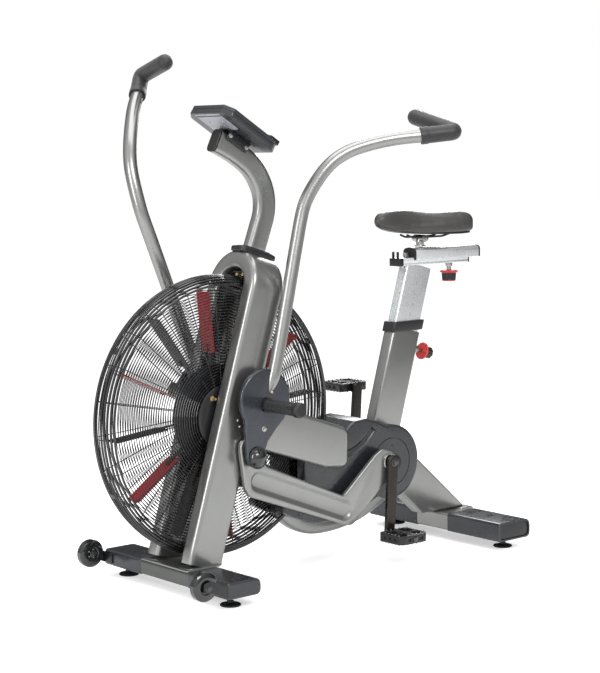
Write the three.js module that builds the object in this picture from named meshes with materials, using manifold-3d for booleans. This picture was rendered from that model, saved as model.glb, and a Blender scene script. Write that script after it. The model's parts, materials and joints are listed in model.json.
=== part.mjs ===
// Air bike: a pedal cycle whose resistance is a caged fan, with two swinging handles.
// Millimetres, +X towards the rear of the bike, +Y to the rider's right, +Z up.
// The origin is on the floor, under the middle of the bike's length and width.
import * as THREE from 'three';
import { mergeVertices } from 'three/addons/utils/BufferGeometryUtils.js';
import Module from 'manifold-3d';

const wasm = await Module();
wasm.setup();

// ---- driving dimensions ----
const GAP = 0.35;                                   // between solids that touch on the real bike
const ORIGIN_SHIFT = 27;                            // moves the origin under the middle of the length
const FRONT_FEET_X = -538;
const REAR_FEET_X = 638;
const FEET_Y = 264;
const STABILIZER = { halfLength: 322, bottom: 33 };
const FRONT_BAR = { x: -528, width: 128, top: 84 };
const REAR_BAR = { x: 636, width: 152, top: 97 };
const FORK = { lean: 0.308, footX: -518, footZ: 74, y: 87, thickness: 58, width: 128, archZ: 915 };
const FAN = {
  x: -384, z: 529, bladeTip: 392, bladeRoot: 198, bladeHalfWidth: 31, discR: 160, blades: 12, firstBlade: 36,
};
const GUARD = {
  rimR: 437, faceR: 413, rimY: 22, faceY: 48, wire: 4, hubR: 100, rings: 3, spokes: 8, sides: 28,
};
const CRANK = { x: 283, z: 312, pinX: 233, pinZ: 326, armEndX: 215, armEndZ: 90 };
const PLANES = { legOuter: 116, rodInner: 121, rodOuter: 139, leverInner: 146, leverOuter: 164 };
const PIVOT = { x: -307, z: 570 };                  // handle pivots, on the foot peg axis
const BALL = { x: -348, z: 410 };                   // lever end that the rod drives
const HANDLE_PHASE = 39;                            // degrees between the two handles
const BELT = { y: 38, halfWidth: 5, bigR: 92, smallR: 24, thickness: 3 };
const SEAT_LEAN = 0.292;                            // run of the seat post per unit of rise
const POST = { baseX: 307, baseZ: 345, outerTop: 743, length: 126, width: 50, innerLength: 113, innerWidth: 41 };
const RAIL_TOP = 983;                               // top of the carriage that the seat slides on

const COLOURS = {
  silver: [0x9a9c99, 0.38, 0.75], paint: [0x4a4d52, 0.4, 0.5], black: [0x17181a, 0.5, 0.1],
  plastic: [0x3c3f44, 0.55, 0.0], aluminium: [0xb9bdbe, 0.35, 0.9], rubber: [0x141416, 0.8, 0.0],
  red: [0xc4161c, 0.5, 0.0], steel: [0x8b8d8f, 0.3, 1.0], saddle: [0x2f2e2d, 0.6, 0.0],
  glass: [0x0d1216, 0.15, 0.0],
};

const bike = new THREE.Group();

// ---- solids ----
function toManifold(geometry) {
  const plain = geometry.clone();
  plain.deleteAttribute('normal');
  plain.deleteAttribute('uv');
  const merged = mergeVertices(plain, 1e-3);
  const vertProperties = new Float32Array(merged.attributes.position.array);
  const triVerts = new Uint32Array(merged.index.array);
  if (signedVolume(vertProperties, triVerts) < 0) {
    for (let i = 0; i < triVerts.length; i += 3) {
      [triVerts[i], triVerts[i + 1]] = [triVerts[i + 1], triVerts[i]];
    }
  }
  return new wasm.Manifold(new wasm.Mesh({ numProp: 3, vertProperties, triVerts }));
}

function signedVolume(points, triangles) {
  const corner = (i) => new THREE.Vector3().fromArray(points, 3 * triangles[i]);
  let volume = 0;
  for (let i = 0; i < triangles.length; i += 3) {
    volume += corner(i).dot(corner(i + 1).cross(corner(i + 2))) / 6;
  }
  return volume;
}

function add(name, finish, solid) {
  const body = solid.isBufferGeometry ? toManifold(solid) : solid;
  const mesh = body.getMesh();
  const geometry = new THREE.BufferGeometry();
  geometry.setAttribute('position', new THREE.BufferAttribute(mesh.vertProperties.slice(), 3));
  geometry.setIndex(new THREE.BufferAttribute(mesh.triVerts.slice(), 1));
  const [color, roughness, metalness] = COLOURS[finish];
  const object = new THREE.Mesh(geometry, new THREE.MeshStandardMaterial({ color, roughness, metalness }));
  object.name = name;
  bike.add(object);
}

const union = (...solids) => solids.map(asSolid).reduce((a, b) => a.add(b));
const cut = (solid, ...tools) => tools.map(asSolid).reduce((a, b) => a.subtract(b), asSolid(solid));
const asSolid = (solid) => (solid.isBufferGeometry ? toManifold(solid) : solid);

function box(x0, x1, y0, y1, z0, z1) {
  const geometry = new THREE.BoxGeometry(x1 - x0, y1 - y0, z1 - z0);
  return geometry.translate((x0 + x1) / 2, (y0 + y1) / 2, (z0 + z1) / 2);
}

// A cylinder about a line parallel to Y.
function drumY(x, z, radius, y0, y1, sides = 32) {
  const geometry = new THREE.CylinderGeometry(radius, radius, Math.abs(y1 - y0), sides);
  return geometry.translate(x, (y0 + y1) / 2, z);
}

// A cylinder about a line parallel to Z; the second radius is the upper one.
function drumZ(x, y, lower, upper, z0, z1, sides = 24) {
  const geometry = new THREE.CylinderGeometry(upper, lower, z1 - z0, sides);
  return geometry.rotateX(Math.PI / 2).translate(x, y, (z0 + z1) / 2);
}

// A solid of revolution about a line parallel to Y, from [radius, y] points.
function turnedY(x, z, profile, sides = 32) {
  const points = profile.map(([radius, y]) => new THREE.Vector2(radius, y));
  return new THREE.LatheGeometry(points, sides).translate(x, 0, z);
}

function outline(points) {
  const shape = new THREE.Shape();
  points.forEach(([x, z], i) => (i ? shape.lineTo(x, z) : shape.moveTo(x, z)));
  shape.closePath();
  return shape;
}

// An outline whose corners are rounded: each point is [x, z, radius].
function rounded(points, segments = 3) {
  const corners = [];
  points.forEach(([x, z, radius = 0], i) => {
    const here = new THREE.Vector2(x, z);
    const before = new THREE.Vector2(...points.at(i - 1).slice(0, 2)).sub(here);
    const after = new THREE.Vector2(...points[(i + 1) % points.length].slice(0, 2)).sub(here);
    if (!radius) {
      corners.push([x, z]);
      return;
    }
    const half = Math.acos(before.clone().normalize().dot(after.clone().normalize())) / 2;
    const reach = Math.min(radius / Math.tan(half), before.length() * 0.49, after.length() * 0.49);
    const from = here.clone().add(before.setLength(reach));
    const to = here.clone().add(after.setLength(reach));
    const bend = new THREE.QuadraticBezierCurve(from, here, to);
    bend.getPoints(segments).forEach((p) => corners.push([p.x, p.y]));
  });
  return outline(corners);
}

// A side-view outline (X, Z) made into a plate between two Y planes.
function plate(shape, y0, y1, bevel = 0) {
  const depth = Math.abs(y1 - y0) - 2 * bevel;
  const settings = { depth, steps: 1, curveSegments: 24, bevelEnabled: bevel > 0 };
  Object.assign(settings, { bevelThickness: bevel, bevelSize: bevel, bevelOffset: -bevel, bevelSegments: 1 });
  const geometry = new THREE.ExtrudeGeometry(shape, settings);
  return geometry.rotateX(Math.PI / 2).translate(0, Math.max(y0, y1) - bevel, 0);
}

function roundedRect(width, height, radius) {
  const [w, h] = [width / 2, height / 2];
  return rounded([[-w, -h, radius], [w, -h, radius], [w, h, radius], [-w, h, radius]], 3);
}

function disc(radius, sides = 16) {
  const angles = Array.from({ length: sides }, (_, i) => (2 * Math.PI * i) / sides);
  return outline(angles.map((angle) => [radius * Math.cos(angle), radius * Math.sin(angle)]));
}

function sweep(shape, curve, steps) {
  return new THREE.ExtrudeGeometry(shape, { extrudePath: curve, steps });
}

const bar = (from, to, radius, sides = 24) => sweep(disc(radius, sides), new THREE.LineCurve3(from, to), 1);
const point = (x, y, z) => new THREE.Vector3(x, y, z);
const curveThrough = (points) => new THREE.CatmullRomCurve3(points.map((p) => new THREE.Vector3(...p)));
const mirrored = (solid) => asSolid(solid).mirror([0, 1, 0]);
const shifted = (solid, x, y, z) => asSolid(solid).translate([x, y, z]);

// Left is -Y. A right-hand piece is the left-hand one mirrored, then turned to its own phase.
function addPair(name, finish, left, right = mirrored(left)) {
  add(`${name}_left`, finish, left);
  add(`${name}_right`, finish, right);
}

function turnedAbout(solid, x, z, degrees) {
  return asSolid(solid).translate([-x, 0, -z]).rotate([0, degrees, 0]).translate([x, 0, z]);
}

// ---- base: stabilizers, levelling feet, transport wheels ----
function stabilizer({ x, width, top }) {
  const { bottom, halfLength } = STABILIZER;
  const section = rounded([[-width / 2, bottom, 10], [width / 2, bottom, 22], [width / 2, top, 28],
    [-width / 2, top, 12]], 4);
  return shifted(plate(section, -halfLength, halfLength, 6), x, 0, 0);
}

function foot(x, y) {
  const under = STABILIZER.bottom - GAP;
  return union(drumZ(x, y, 32, 29, 0, 6), drumZ(x, y, 12, 12, 5, 14, 6), drumZ(x, y, 7, 7, 5, under, 12));
}

const WHEEL = { x: -662, y: 298, z: 83, radius: 44, halfWidth: 14, axleR: 7 };

function wheelBracket() {
  const front = FRONT_BAR.x - FRONT_BAR.width / 2 - GAP;
  const outer = -WHEEL.y - WHEEL.halfWidth - 3;
  const inner = -WHEEL.y + WHEEL.halfWidth;
  const cheek = rounded([[WHEEL.x - 16, 66, 12], [WHEEL.x + 18, 62, 4], [front, 40, 0], [front, 76, 0],
    [WHEEL.x + 14, 102, 12], [WHEEL.x - 16, 100, 12]]);
  const axle = drumY(WHEEL.x, WHEEL.z, WHEEL.axleR, outer - 1, inner + 4, 20);
  const nut = drumY(WHEEL.x, WHEEL.z, 12, inner + 1, inner + 8, 6);
  const head = drumY(WHEEL.x, WHEEL.z, 12, outer - 12, outer - 7.5, 6);
  const flange = box(front - 5, front, outer - 6, inner + 14, 40, 74);
  return union(plate(cheek, outer - 8, outer), axle, nut, head, flange);
}

function transportWheel() {
  const { y, halfWidth, radius, axleR } = WHEEL;
  const side = (sign) => [[axleR + GAP, sign * halfWidth], [24, sign * halfWidth],
    [30, sign * (halfWidth - 4)], [radius - 8, sign * (halfWidth - 1)], [radius, sign * 6]];
  const tread = [...side(-1), ...side(1).reverse(), side(-1)[0]];
  return shifted(turnedY(WHEEL.x, WHEEL.z, tread, 24), 0, -y, 0);
}

add('front_stabilizer', 'paint', stabilizer(FRONT_BAR));
add('rear_stabilizer', 'paint', stabilizer(REAR_BAR));
addPair('front_foot', 'rubber', foot(FRONT_FEET_X, -FEET_Y));
addPair('rear_foot', 'rubber', foot(REAR_FEET_X, -FEET_Y));
addPair('wheel_bracket', 'black', wheelBracket());
addPair('transport_wheel', 'rubber', transportWheel());

// ---- frame ----
const legCentreX = (z) => FORK.footX + FORK.lean * (z - FORK.footZ);

function fork(grow = 0) {
  const lean = new THREE.Vector3(FORK.lean, 0, 1).normalize();
  const at = (y, z, up) => new THREE.Vector3(legCentreX(z), y, z).addScaledVector(lean, up);
  const arch = (t) => at(-FORK.y * Math.cos(Math.PI * t), FORK.archZ, FORK.y * Math.sin(Math.PI * t));
  const points = [at(-FORK.y, 20, 0), at(-FORK.y, 500, 0), at(-FORK.y, 800, 0)];
  for (let i = 0; i <= 8; i += 1) points.push(arch(i / 8));
  points.push(at(FORK.y, 800, 0), at(FORK.y, 500, 0), at(FORK.y, 20, 0));
  const section = roundedRect(FORK.thickness + 2 * grow, FORK.width + 2 * grow, 18);
  const bent = sweep(section, new THREE.CatmullRomCurve3(points, false, 'chordal'), 34);
  return cut(bent, box(-900, 0, -200, 200, -50, FRONT_BAR.top + GAP));
}

const COLLAR = { x: -222, z: 1030, halfLength: 72, halfWidth: 34, halfThickness: 11 };

// A slab parallel to the collar, between two heights above the collar's middle.
function collarSlab(low, high, halfLength = COLLAR.halfLength, halfWidth = COLLAR.halfWidth) {
  const slab = new THREE.ExtrudeGeometry(roundedRect(2 * halfLength, 2 * halfWidth, 16),
    { depth: high - low, bevelEnabled: false });
  return slab.translate(0, 0, low).rotateY(Math.atan(FORK.lean)).translate(COLLAR.x, 0, COLLAR.z);
}

const MAST_SECTION = { width: 42, depth: 74, radius: 18 };
const MAST_PATH = [[-236, 0, 1000], [-198, 0, 1098], [-178, 0, 1160], [-183, 0, 1224], [-224, 0, 1294],
  [-294, 0, 1345], [-366, 0, 1380]];

function mast(grow = 0) {
  const { width, depth, radius } = MAST_SECTION;
  const section = roundedRect(width + 2 * grow, depth + 2 * grow, radius);
  return cut(sweep(section, curveThrough(MAST_PATH), 18), collarSlab(-90, COLLAR.halfThickness + GAP, 150, 90));
}

function mastEndCap() {
  const [before, end] = MAST_PATH.slice(-2).map((p) => new THREE.Vector3(...p));
  const ahead = end.clone().sub(before).setY(0).normalize();
  const [start, tip] = [GAP, 9].map((step) => end.clone().addScaledVector(ahead, step));
  const line = new THREE.LineCurve3(start, tip);
  const section = roundedRect(MAST_SECTION.width + 2, MAST_SECTION.depth + 2, MAST_SECTION.radius);
  return cut(sweep(section, line, 1), mast(0.4));
}

add('fork_frame', 'silver', cut(fork(), collarSlab(-COLLAR.halfThickness - GAP, 90, 150, 120)));
add('mast_collar', 'black', collarSlab(-COLLAR.halfThickness, COLLAR.halfThickness));
add('mast', 'silver', mast());
add('mast_end_cap', 'black', mastEndCap());

// Side beams that straddle the fan cage, joined behind it by the spine.
const BEAM_INNER_Y = -68;
const beamOutline = (grow = 0) => rounded([[-352 - grow, 632 + grow, 20], [-258, 566 + grow, 60],
  [72 + grow, 452 + grow, 30], [72 + grow, 322 - grow, 26], [-20, 332 - grow, 30],
  [-380 - grow, 452 - grow, 20]], 4);

function sideBeam() {
  const beam = plate(beamOutline(), -PLANES.legOuter, BEAM_INNER_Y, 5);
  return cut(beam, fork(0.5), guardSweep());
}

// The space swept by the round cage, which the side pieces keep clear of.
const guardSweep = () => drumY(FAN.x, FAN.z, GUARD.rimR + 8, -66, 66, 96);

function spine() {
  const cross = plate(rounded([[54, 428, 10], [100, 416, 10], [100, 340, 10], [54, 350, 10]]),
    BEAM_INNER_Y + GAP, -BEAM_INNER_Y - GAP);
  const tube = plate(rounded([[60, 432, 8], [335, 396, 8], [335, 352, 8], [60, 372, 8]]), -28, 28, 4);
  return cut(union(cross, tube), guardSweep(), seatTube(0.4), bottomBracket(0.4));
}

const postX = (z) => POST.baseX + SEAT_LEAN * (z - POST.baseZ);

// A straight tube along the seat post's lean, from one height to another.
function postTube(z0, z1, length, width, radius = 10) {
  const line = new THREE.LineCurve3(new THREE.Vector3(postX(z0), 0, z0), new THREE.Vector3(postX(z1), 0, z1));
  return sweep(roundedRect(width, length, radius), line, 1);
}

const INNER_BOTTOM = 520;

function seatTube(grow = 0) {
  return postTube(POST.baseZ - grow, POST.outerTop + grow, POST.length + 2 * grow, POST.width + 2 * grow);
}

const bottomBracket = (grow = 0) => drumY(CRANK.x, CRANK.z, 34 + grow, -30 - grow, 30 + grow, 40);

function rearLeg() {
  const base = REAR_BAR.top + GAP;
  const side = rounded([[322, 262], [322, 334], [394, 316], [440, 318, 12], [696, base], [486, base],
    [395, 178, 30]]);
  return cut(plate(side, -27, 27, 6), seatTube(0.4), bottomBracket(0.4));
}

function lowerTube() {
  const path = curveThrough([[310, 0, 186], [200, 0, 140], [80, 0, 120], [-20, 0, 126], [-90, 0, 158],
    [-140, 0, 206]]);
  const tube = sweep(roundedRect(50, 50, 16), path, 12);
  return cut(tube, guardSweep(), rearLeg(), shifted(rearLeg(), -0.4, 0, -0.4));
}

const beamLeft = sideBeam();
addPair('side_beam', 'silver', beamLeft);
const innerPost = () => postTube(INNER_BOTTOM, RAIL_TOP - 27, POST.innerLength, POST.innerWidth, 7);
const postBore = () => postTube(POST.baseZ + 60, POST.outerTop + 60, POST.innerLength + 3,
  POST.innerWidth + 3, 8);
add('main_spine', 'silver', spine());
// The spring pin that locks the post stands square to it, on its rear side.
const PIN = { z: 690, radius: 7, start: 61, bushEnd: 84, discStart: 108, discR: 29, gripEnd: 150, gripR: 20 };
const pinPoint = (distance) => new THREE.Vector3(postX(PIN.z), 0, PIN.z)
  .addScaledVector(new THREE.Vector3(1, 0, -SEAT_LEAN).normalize(), distance);
const pinBar = (from, to, radius, sides = 24) => bar(pinPoint(from), pinPoint(to), radius, sides);
const pinBore = () => pinBar(30, 130, PIN.radius + GAP);
const pinBush = () => pinBar(POST.length / 2 - 4, PIN.bushEnd, 13);
add('seat_tube', 'silver', cut(union(seatTube(), pinBush()), postBore(), pinBore()));
add('bottom_bracket', 'steel', cut(bottomBracket(), drumY(CRANK.x, CRANK.z, 16 + GAP, -40, 40)));
add('rear_leg', 'silver', rearLeg());
add('lower_tube', 'silver', lowerTube());

const collarBand = postTube(POST.outerTop - 2, POST.outerTop + 30, POST.length + 12, POST.width + 12, 12);
add('seat_tube_collar', 'black', cut(collarBand, postBore(), seatTube(0.4)));

// ---- drive housing ----
// The half shell's side view: a round rear end about the crank and a nose below the fan cage.
const housingOutline = (inset = 0) => {
  const radius = 125 - inset;
  const arc = [];
  for (let a = 98; a >= -118; a -= 12) {
    const angle = (a * Math.PI) / 180;
    arc.push([CRANK.x + radius * Math.cos(angle), CRANK.z + radius * Math.sin(angle)]);
  }
  return outline([[96 + inset, 452 - inset], [120, 466 - inset], [168, 470 - inset], [215, 458 - inset],
    [248, 442 - inset], ...arc, [150, 168 + inset], [60, 150 + inset], [-40, 150 + inset], [-126, 176 + inset],
    [-188 + inset, 214], [-184 + inset, 226 - inset / 2], [-96 + inset, 296], [-96 + inset, 400],
    [70 + inset, 430]]);
};

function housingHalf() {
  const skin = 3;
  const outer = plate(housingOutline(), -93, -GAP, 6);
  const trimmed = cut(outer, box(-300, 500, -3 * GAP, 10, 0, 600));
  const hollow = plate(housingOutline(skin), -93 + skin, 20, 4);
  const beamSpace = plate(beamOutline(GAP), -130, BEAM_INNER_Y + GAP);
  const ground = [beamSpace, shifted(guardSweep(), 1, 0, 0), drumY(CRANK.x, CRANK.z, 17, -120, 0)];
  const tubes = [seatTube(1.5), spineSpace(), rearLegSpace(), lowerTubeSpace()];
  return cut(trimmed, hollow, ...ground, ...tubes);
}

const spineSpace = () => box(40, 130, -70, 70, 330, 441);
const rearLegSpace = () => plate(rounded([[320, 360], [460, 330], [720, 60], [460, 60], [385, 178],
  [270, 290]]), -29, 29);
const lowerTubeSpace = () => box(-260, 330, -27, 27, 80, 236);

const beltSpace = () => beltBand(-8, BELT.thickness + 6, BELT.halfWidth + 6);
addPair('housing', 'plastic', housingHalf(), cut(mirrored(housingHalf()), beltSpace()));

// ---- fan, cage and belt drive ----
function paddle(index) {
  const { bladeRoot, bladeTip, bladeHalfWidth } = FAN;
  const blade = box(bladeRoot, bladeTip, -bladeHalfWidth, bladeHalfWidth, -1.5, 1.5);
  const rib = box(60, bladeRoot + 30, -9, 9, -3, 3);
  const angle = -(FAN.firstBlade + (360 / FAN.blades) * index);
  return union(blade, rib).rotate([0, angle, 0]).translate([FAN.x, 0, FAN.z]);
}

const FAN_AXLE_R = 10;

function fanWheel() {
  const hub = turnedY(FAN.x, FAN.z, [[FAN_AXLE_R + GAP, -26], [46, -26], [50, -8], [FAN.discR, -3],
    [FAN.discR, 3], [50, 8], [46, 26], [FAN_AXLE_R + GAP, 26], [FAN_AXLE_R + GAP, -26]], 36);
  const blades = Array.from({ length: FAN.blades }, (_, i) => paddle(i));
  return union(hub, ...blades);
}

function ring(radius, y, wire, sides = GUARD.sides) {
  const profile = [[radius - wire / 2, y - wire / 2], [radius + wire / 2, y - wire / 2],
    [radius + wire / 2, y + wire / 2], [radius - wire / 2, y + wire / 2], [radius - wire / 2, y - wire / 2]];
  return turnedY(FAN.x, FAN.z, profile, sides);
}

function radial(from, to, y, wire, index, count) {
  const rod = box(from, to, y - wire / 2, y + wire / 2, -wire / 2, wire / 2);
  return asSolid(rod).rotate([0, (-360 * index) / count, 0]).translate([FAN.x, 0, FAN.z]);
}

function guardFace() {
  const { faceY, wire, hubR, faceR, rings, spokes } = GUARD;
  const boreR = FAN_AXLE_R + GAP;
  const hubPlate = turnedY(FAN.x, FAN.z, [[boreR, -faceY - 2], [hubR, -faceY - 2], [hubR, -faceY + 2],
    [boreR, -faceY + 2], [boreR, -faceY - 2]], GUARD.sides);
  const hoops = [];
  for (let i = 1; i <= rings; i += 1) {
    hoops.push(ring(hubR + ((faceR - 8 - hubR) * i) / rings, -faceY, wire));
  }
  const spokeWires = Array.from({ length: spokes },
    (_, i) => radial(hubR - 4, faceR - 7, -faceY, wire - 1, i, spokes));
  return union(hubPlate, ...hoops, ...spokeWires);
}

function guardRim() {
  const { rimR, faceR, rimY, faceY, wire } = GUARD;
  const hoops = [ring(rimR, -rimY, wire + 2), ring(rimR, rimY, wire + 2), ring(faceR, -faceY, wire),
    ring(faceR, faceY, wire)];
  const ties = Array.from({ length: GUARD.spokes }, (_, i) => {
    const bent = new THREE.ExtrudeGeometry(outline([[faceR - 2, -faceY - 1.5], [faceR + 2, -faceY - 1.5],
      [rimR + 2, -rimY - 1], [rimR + 2, rimY + 1], [faceR + 2, faceY + 1.5], [faceR - 2, faceY + 1.5],
      [rimR - 2, rimY - 1], [rimR - 2, -rimY + 1]]), { depth: 4, bevelEnabled: false });
    return asSolid(bent.translate(0, 0, -2)).rotate([0, (-360 * (i + 0.5)) / GUARD.spokes, 0])
      .translate([FAN.x, 0, FAN.z]);
  });
  return union(...hoops, ...ties);
}

add('fan_wheel', 'black', fanWheel());
addPair('guard_face', 'black', guardFace());
add('guard_rim', 'black', guardRim());

// ---- drive: fan axle, pulleys and belt ----
function beltLoop(extra) {
  const between = Math.atan2(FAN.z - CRANK.z, FAN.x - CRANK.x);
  const [big, small] = [BELT.bigR + extra, BELT.smallR + extra];
  const tangent = Math.acos((big - small) / Math.hypot(FAN.x - CRANK.x, FAN.z - CRANK.z));
  const arc = (x, z, radius, from, to, count) => Array.from({ length: count + 1 }, (_, i) => {
    const angle = from + ((to - from) * i) / count;
    return [x + radius * Math.cos(angle), z + radius * Math.sin(angle)];
  });
  return [...arc(CRANK.x, CRANK.z, big, between + tangent, between + 2 * Math.PI - tangent, 28),
    ...arc(FAN.x, FAN.z, small, between - tangent, between + tangent, 12)];
}

function beltBand(inner, outer, halfWidth) {
  const shape = outline(beltLoop(outer));
  shape.holes.push(new THREE.Path(beltLoop(inner).map(([x, z]) => new THREE.Vector2(x, z))));
  return plate(shape, BELT.y - halfWidth, BELT.y + halfWidth);
}

function pulley(x, z, boreR, radius, hubR) {
  const { y, halfWidth } = BELT;
  const side = (sign) => {
    const [web, face] = [y + sign * 3, y + sign * (halfWidth + 1)];
    return [[boreR, face], [hubR, face], [hubR, web], [radius - 7, web], [radius - 7, face], [radius, face]];
  };
  return turnedY(x, z, [...side(-1), ...side(1).reverse(), side(-1)[0]], 28);
}

const SPINDLE_R = 16;
add('fan_axle', 'steel', drumY(FAN.x, FAN.z, FAN_AXLE_R, -57.5, 57.5, 24));
add('fan_pulley', 'steel', turnedY(FAN.x, FAN.z, [[FAN_AXLE_R + GAP, BELT.y - 6], [BELT.smallR, BELT.y - 6],
  [BELT.smallR, BELT.y + 6], [FAN_AXLE_R + GAP, BELT.y + 6], [FAN_AXLE_R + GAP, BELT.y - 6]], 32));
add('drive_pulley', 'steel', pulley(CRANK.x, CRANK.z, SPINDLE_R + 1.5 * GAP, BELT.bigR, 30));
add('drive_belt', 'rubber', beltBand(2 * GAP, BELT.thickness, BELT.halfWidth));
add('crank_spindle', 'steel', drumY(CRANK.x, CRANK.z, SPINDLE_R, -96, 96, 32));

// ---- cranks and pedals ----
const ARM = { throwOuter: 114, throwInner: 96 + GAP, inner: 145, outer: 160, pinR: 13, pedalAxleR: 7 };
const PEDAL = { inner: 164, outer: 276, halfLength: 61, halfHeight: 14 };

// The outline round two circles, as of a crank or a link.
function linkOutline(x0, z0, r0, x1, z1, r1) {
  const along = Math.atan2(z1 - z0, x1 - x0);
  const slope = Math.acos((r0 - r1) / Math.hypot(x1 - x0, z1 - z0));
  const arc = (x, z, radius, from, to) => Array.from({ length: 9 }, (_, i) => {
    const angle = from + ((to - from) * i) / 8;
    return [x + radius * Math.cos(angle), z + radius * Math.sin(angle)];
  });
  return outline([...arc(x0, z0, r0, along + slope, along + 2 * Math.PI - slope),
    ...arc(x1, z1, r1, along - slope, along + slope)]);
}

function crank() {
  const throwSide = linkOutline(CRANK.x, CRANK.z, 26, CRANK.pinX, CRANK.pinZ, 20);
  const throwPlate = plate(throwSide, -ARM.throwOuter, -ARM.throwInner, 3);
  const pin = drumY(CRANK.pinX, CRANK.pinZ, ARM.pinR, -ARM.inner - 2, -ARM.throwOuter + 2, 32);
  const armSide = linkOutline(CRANK.pinX, CRANK.pinZ, 21, CRANK.armEndX, CRANK.armEndZ, 17);
  const arm = plate(armSide, -ARM.outer, -ARM.inner, 3);
  const axle = drumY(CRANK.armEndX, CRANK.armEndZ, ARM.pedalAxleR, -PEDAL.outer + 8, -ARM.outer + 2, 20);
  return union(throwPlate, pin, arm, axle);
}

function pedal() {
  const { inner, outer, halfLength, halfHeight } = PEDAL;
  const [centreX, centreZ] = [CRANK.armEndX, CRANK.armEndZ];
  const plan = rounded([[-halfLength, -outer + 12, 12], [-halfLength + 14, -outer, 10],
    [halfLength - 14, -outer, 10], [halfLength, -outer + 12, 12], [halfLength, -inner - 8, 8],
    [halfLength - 8, -inner, 8], [-halfLength + 8, -inner, 8], [-halfLength, -inner - 8, 8]]);
  const body = new THREE.ExtrudeGeometry(plan, { depth: 2 * halfHeight, bevelEnabled: false });
  body.translate(centreX, 0, centreZ - halfHeight);
  const window = (x0, x1) => box(centreX + x0, centreX + x1, -outer + 10, -inner - 10, 0, 200);
  const bore = drumY(centreX, centreZ, ARM.pedalAxleR + GAP, -outer + 6, -inner + 5, 24);
  return cut(body, window(-50, -15), window(15, 50), bore);
}

const oppositePhase = (solid) => turnedAbout(mirrored(solid), CRANK.x, CRANK.z, 180);
addPair('crank', 'black', crank(), oppositePhase(crank()));
addPair('pedal', 'black', pedal(), oppositePhase(pedal()));

// ---- handles, levers, rods and foot pegs ----
const HANDLE = { tubeR: 21, gripR: 26 };
const HANDLE_PATH = [[-284, -157, 628], [-265, -157, 684], [-204, -147, 907], [-142, -136, 1132],
  [-128, -137, 1180], [-102, -145, 1229], [-61, -163, 1292], [-24, -180, 1325], [19, -203, 1351],
  [91, -250, 1374], [144, -288, 1385], [198, -322, 1390]];
const GRIP_CORNER = [290, -388, 1402];
const GRIP_END = [285, -210, 1451];

function handleTube(grow = 0) {
  const points = HANDLE_PATH.map((p) => point(...p));
  const beyond = (end, inner) => end.clone().addScaledVector(end.clone().sub(inner).normalize(), 1.5 * grow);
  points[0] = beyond(points[0], points[1]);
  points[points.length - 1] = beyond(points.at(-1), points.at(-2));
  return sweep(disc(HANDLE.tubeR + grow, 12), new THREE.CatmullRomCurve3(points), 26);
}

function grip() {
  const [start, corner, end] = [HANDLE_PATH.at(-1), GRIP_CORNER, GRIP_END].map((p) => point(...p));
  const ahead = corner.clone().sub(start).normalize();
  const bend = new THREE.SphereGeometry(HANDLE.gripR, 14, 8).translate(...corner);
  const sleeve = bar(start.clone().addScaledVector(ahead, 0.6), corner, HANDLE.gripR, 14);
  return cut(union(sleeve, bar(corner, end, HANDLE.gripR, 14), bend), handleTube(0.4));
}

const leverOutline = () => {
  const head = { x: -310, z: 585, r: 98 };
  const arc = [];
  for (let a = 218; a >= -42; a -= 20) {
    const angle = (a * Math.PI) / 180;
    arc.push([head.x + head.r * Math.cos(angle), head.z + head.r * Math.sin(angle)]);
  }
  return outline([...arc, [-270, 490], [-300, 462], [-314, 436], [-316, 402], [-330, 382], [-350, 377],
    [-372, 386], [-382, 410], [-385, 450], [-388, 496]]);
};

function lever() {
  const { leverInner, leverOuter } = PLANES;
  const body = plate(leverOutline(), -leverOuter, -leverInner, 4);
  const dome = new THREE.SphereGeometry(31, 16, 10).scale(1, 0.9, 1).translate(BALL.x, -leverOuter - 2, BALL.z);
  const domeHalf = cut(dome, box(-500, 0, -leverOuter + 3, 0, 300, 600));
  const stud = drumY(BALL.x, BALL.z, 14, -leverInner - 3, -leverInner + 3);
  const bore = drumY(PIVOT.x, PIVOT.z, PEG.axleR + 1.5 * GAP, -220, -100, 32);
  return cut(union(body, domeHalf, stud), handleTube(0.4), bore);
}

const PEG = { axleR: 18, pegR: 24, outer: 330 };

function footPeg() {
  const { legOuter, leverOuter } = PLANES;
  const flange = drumY(PIVOT.x, PIVOT.z, 30, -legOuter - 4, -legOuter - GAP);
  const axle = drumY(PIVOT.x, PIVOT.z, PEG.axleR, -leverOuter - 8, -legOuter - 2);
  return union(flange, axle, drumY(PIVOT.x, PIVOT.z, PEG.pegR, -PEG.outer, -leverOuter - 3));
}

function rod() {
  const side = rounded([[-398, 470, 44], [-306, 470, 44], [-300, 378, 30], [30, 238, 16], [168, 352, 20],
    [204, 372, 30], [266, 352, 30], [262, 296, 30], [62, 132, 34], [-372, 290, 44]], 3);
  const bore = drumY(CRANK.pinX, CRANK.pinZ, ARM.pinR + GAP, -200, -100, 32);
  return cut(plate(side, -PLANES.rodOuter, -PLANES.rodInner, 4), bore);
}

// The right rod hangs on the opposite crank pin and is turned so that it meets its own lever.
const RIGHT_ROD_TURN = 3.2;
function oppositeRod() {
  const [stepX, stepZ] = [2 * (CRANK.x - CRANK.pinX), 2 * (CRANK.z - CRANK.pinZ)];
  const moved = shifted(mirrored(rod()), stepX, 0, stepZ);
  return turnedAbout(moved, CRANK.pinX + stepX, CRANK.pinZ + stepZ, RIGHT_ROD_TURN);
}

const handlePhase = (solid) => turnedAbout(mirrored(solid), PIVOT.x, PIVOT.z, -HANDLE_PHASE);
addPair('lever', 'plastic', lever(), handlePhase(lever()));
addPair('handle', 'silver', handleTube(), handlePhase(handleTube()));
addPair('grip', 'rubber', grip(), handlePhase(grip()));
addPair('foot_peg', 'steel', footPeg());
addPair('rod', 'silver', rod(), oppositeRod());

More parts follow.
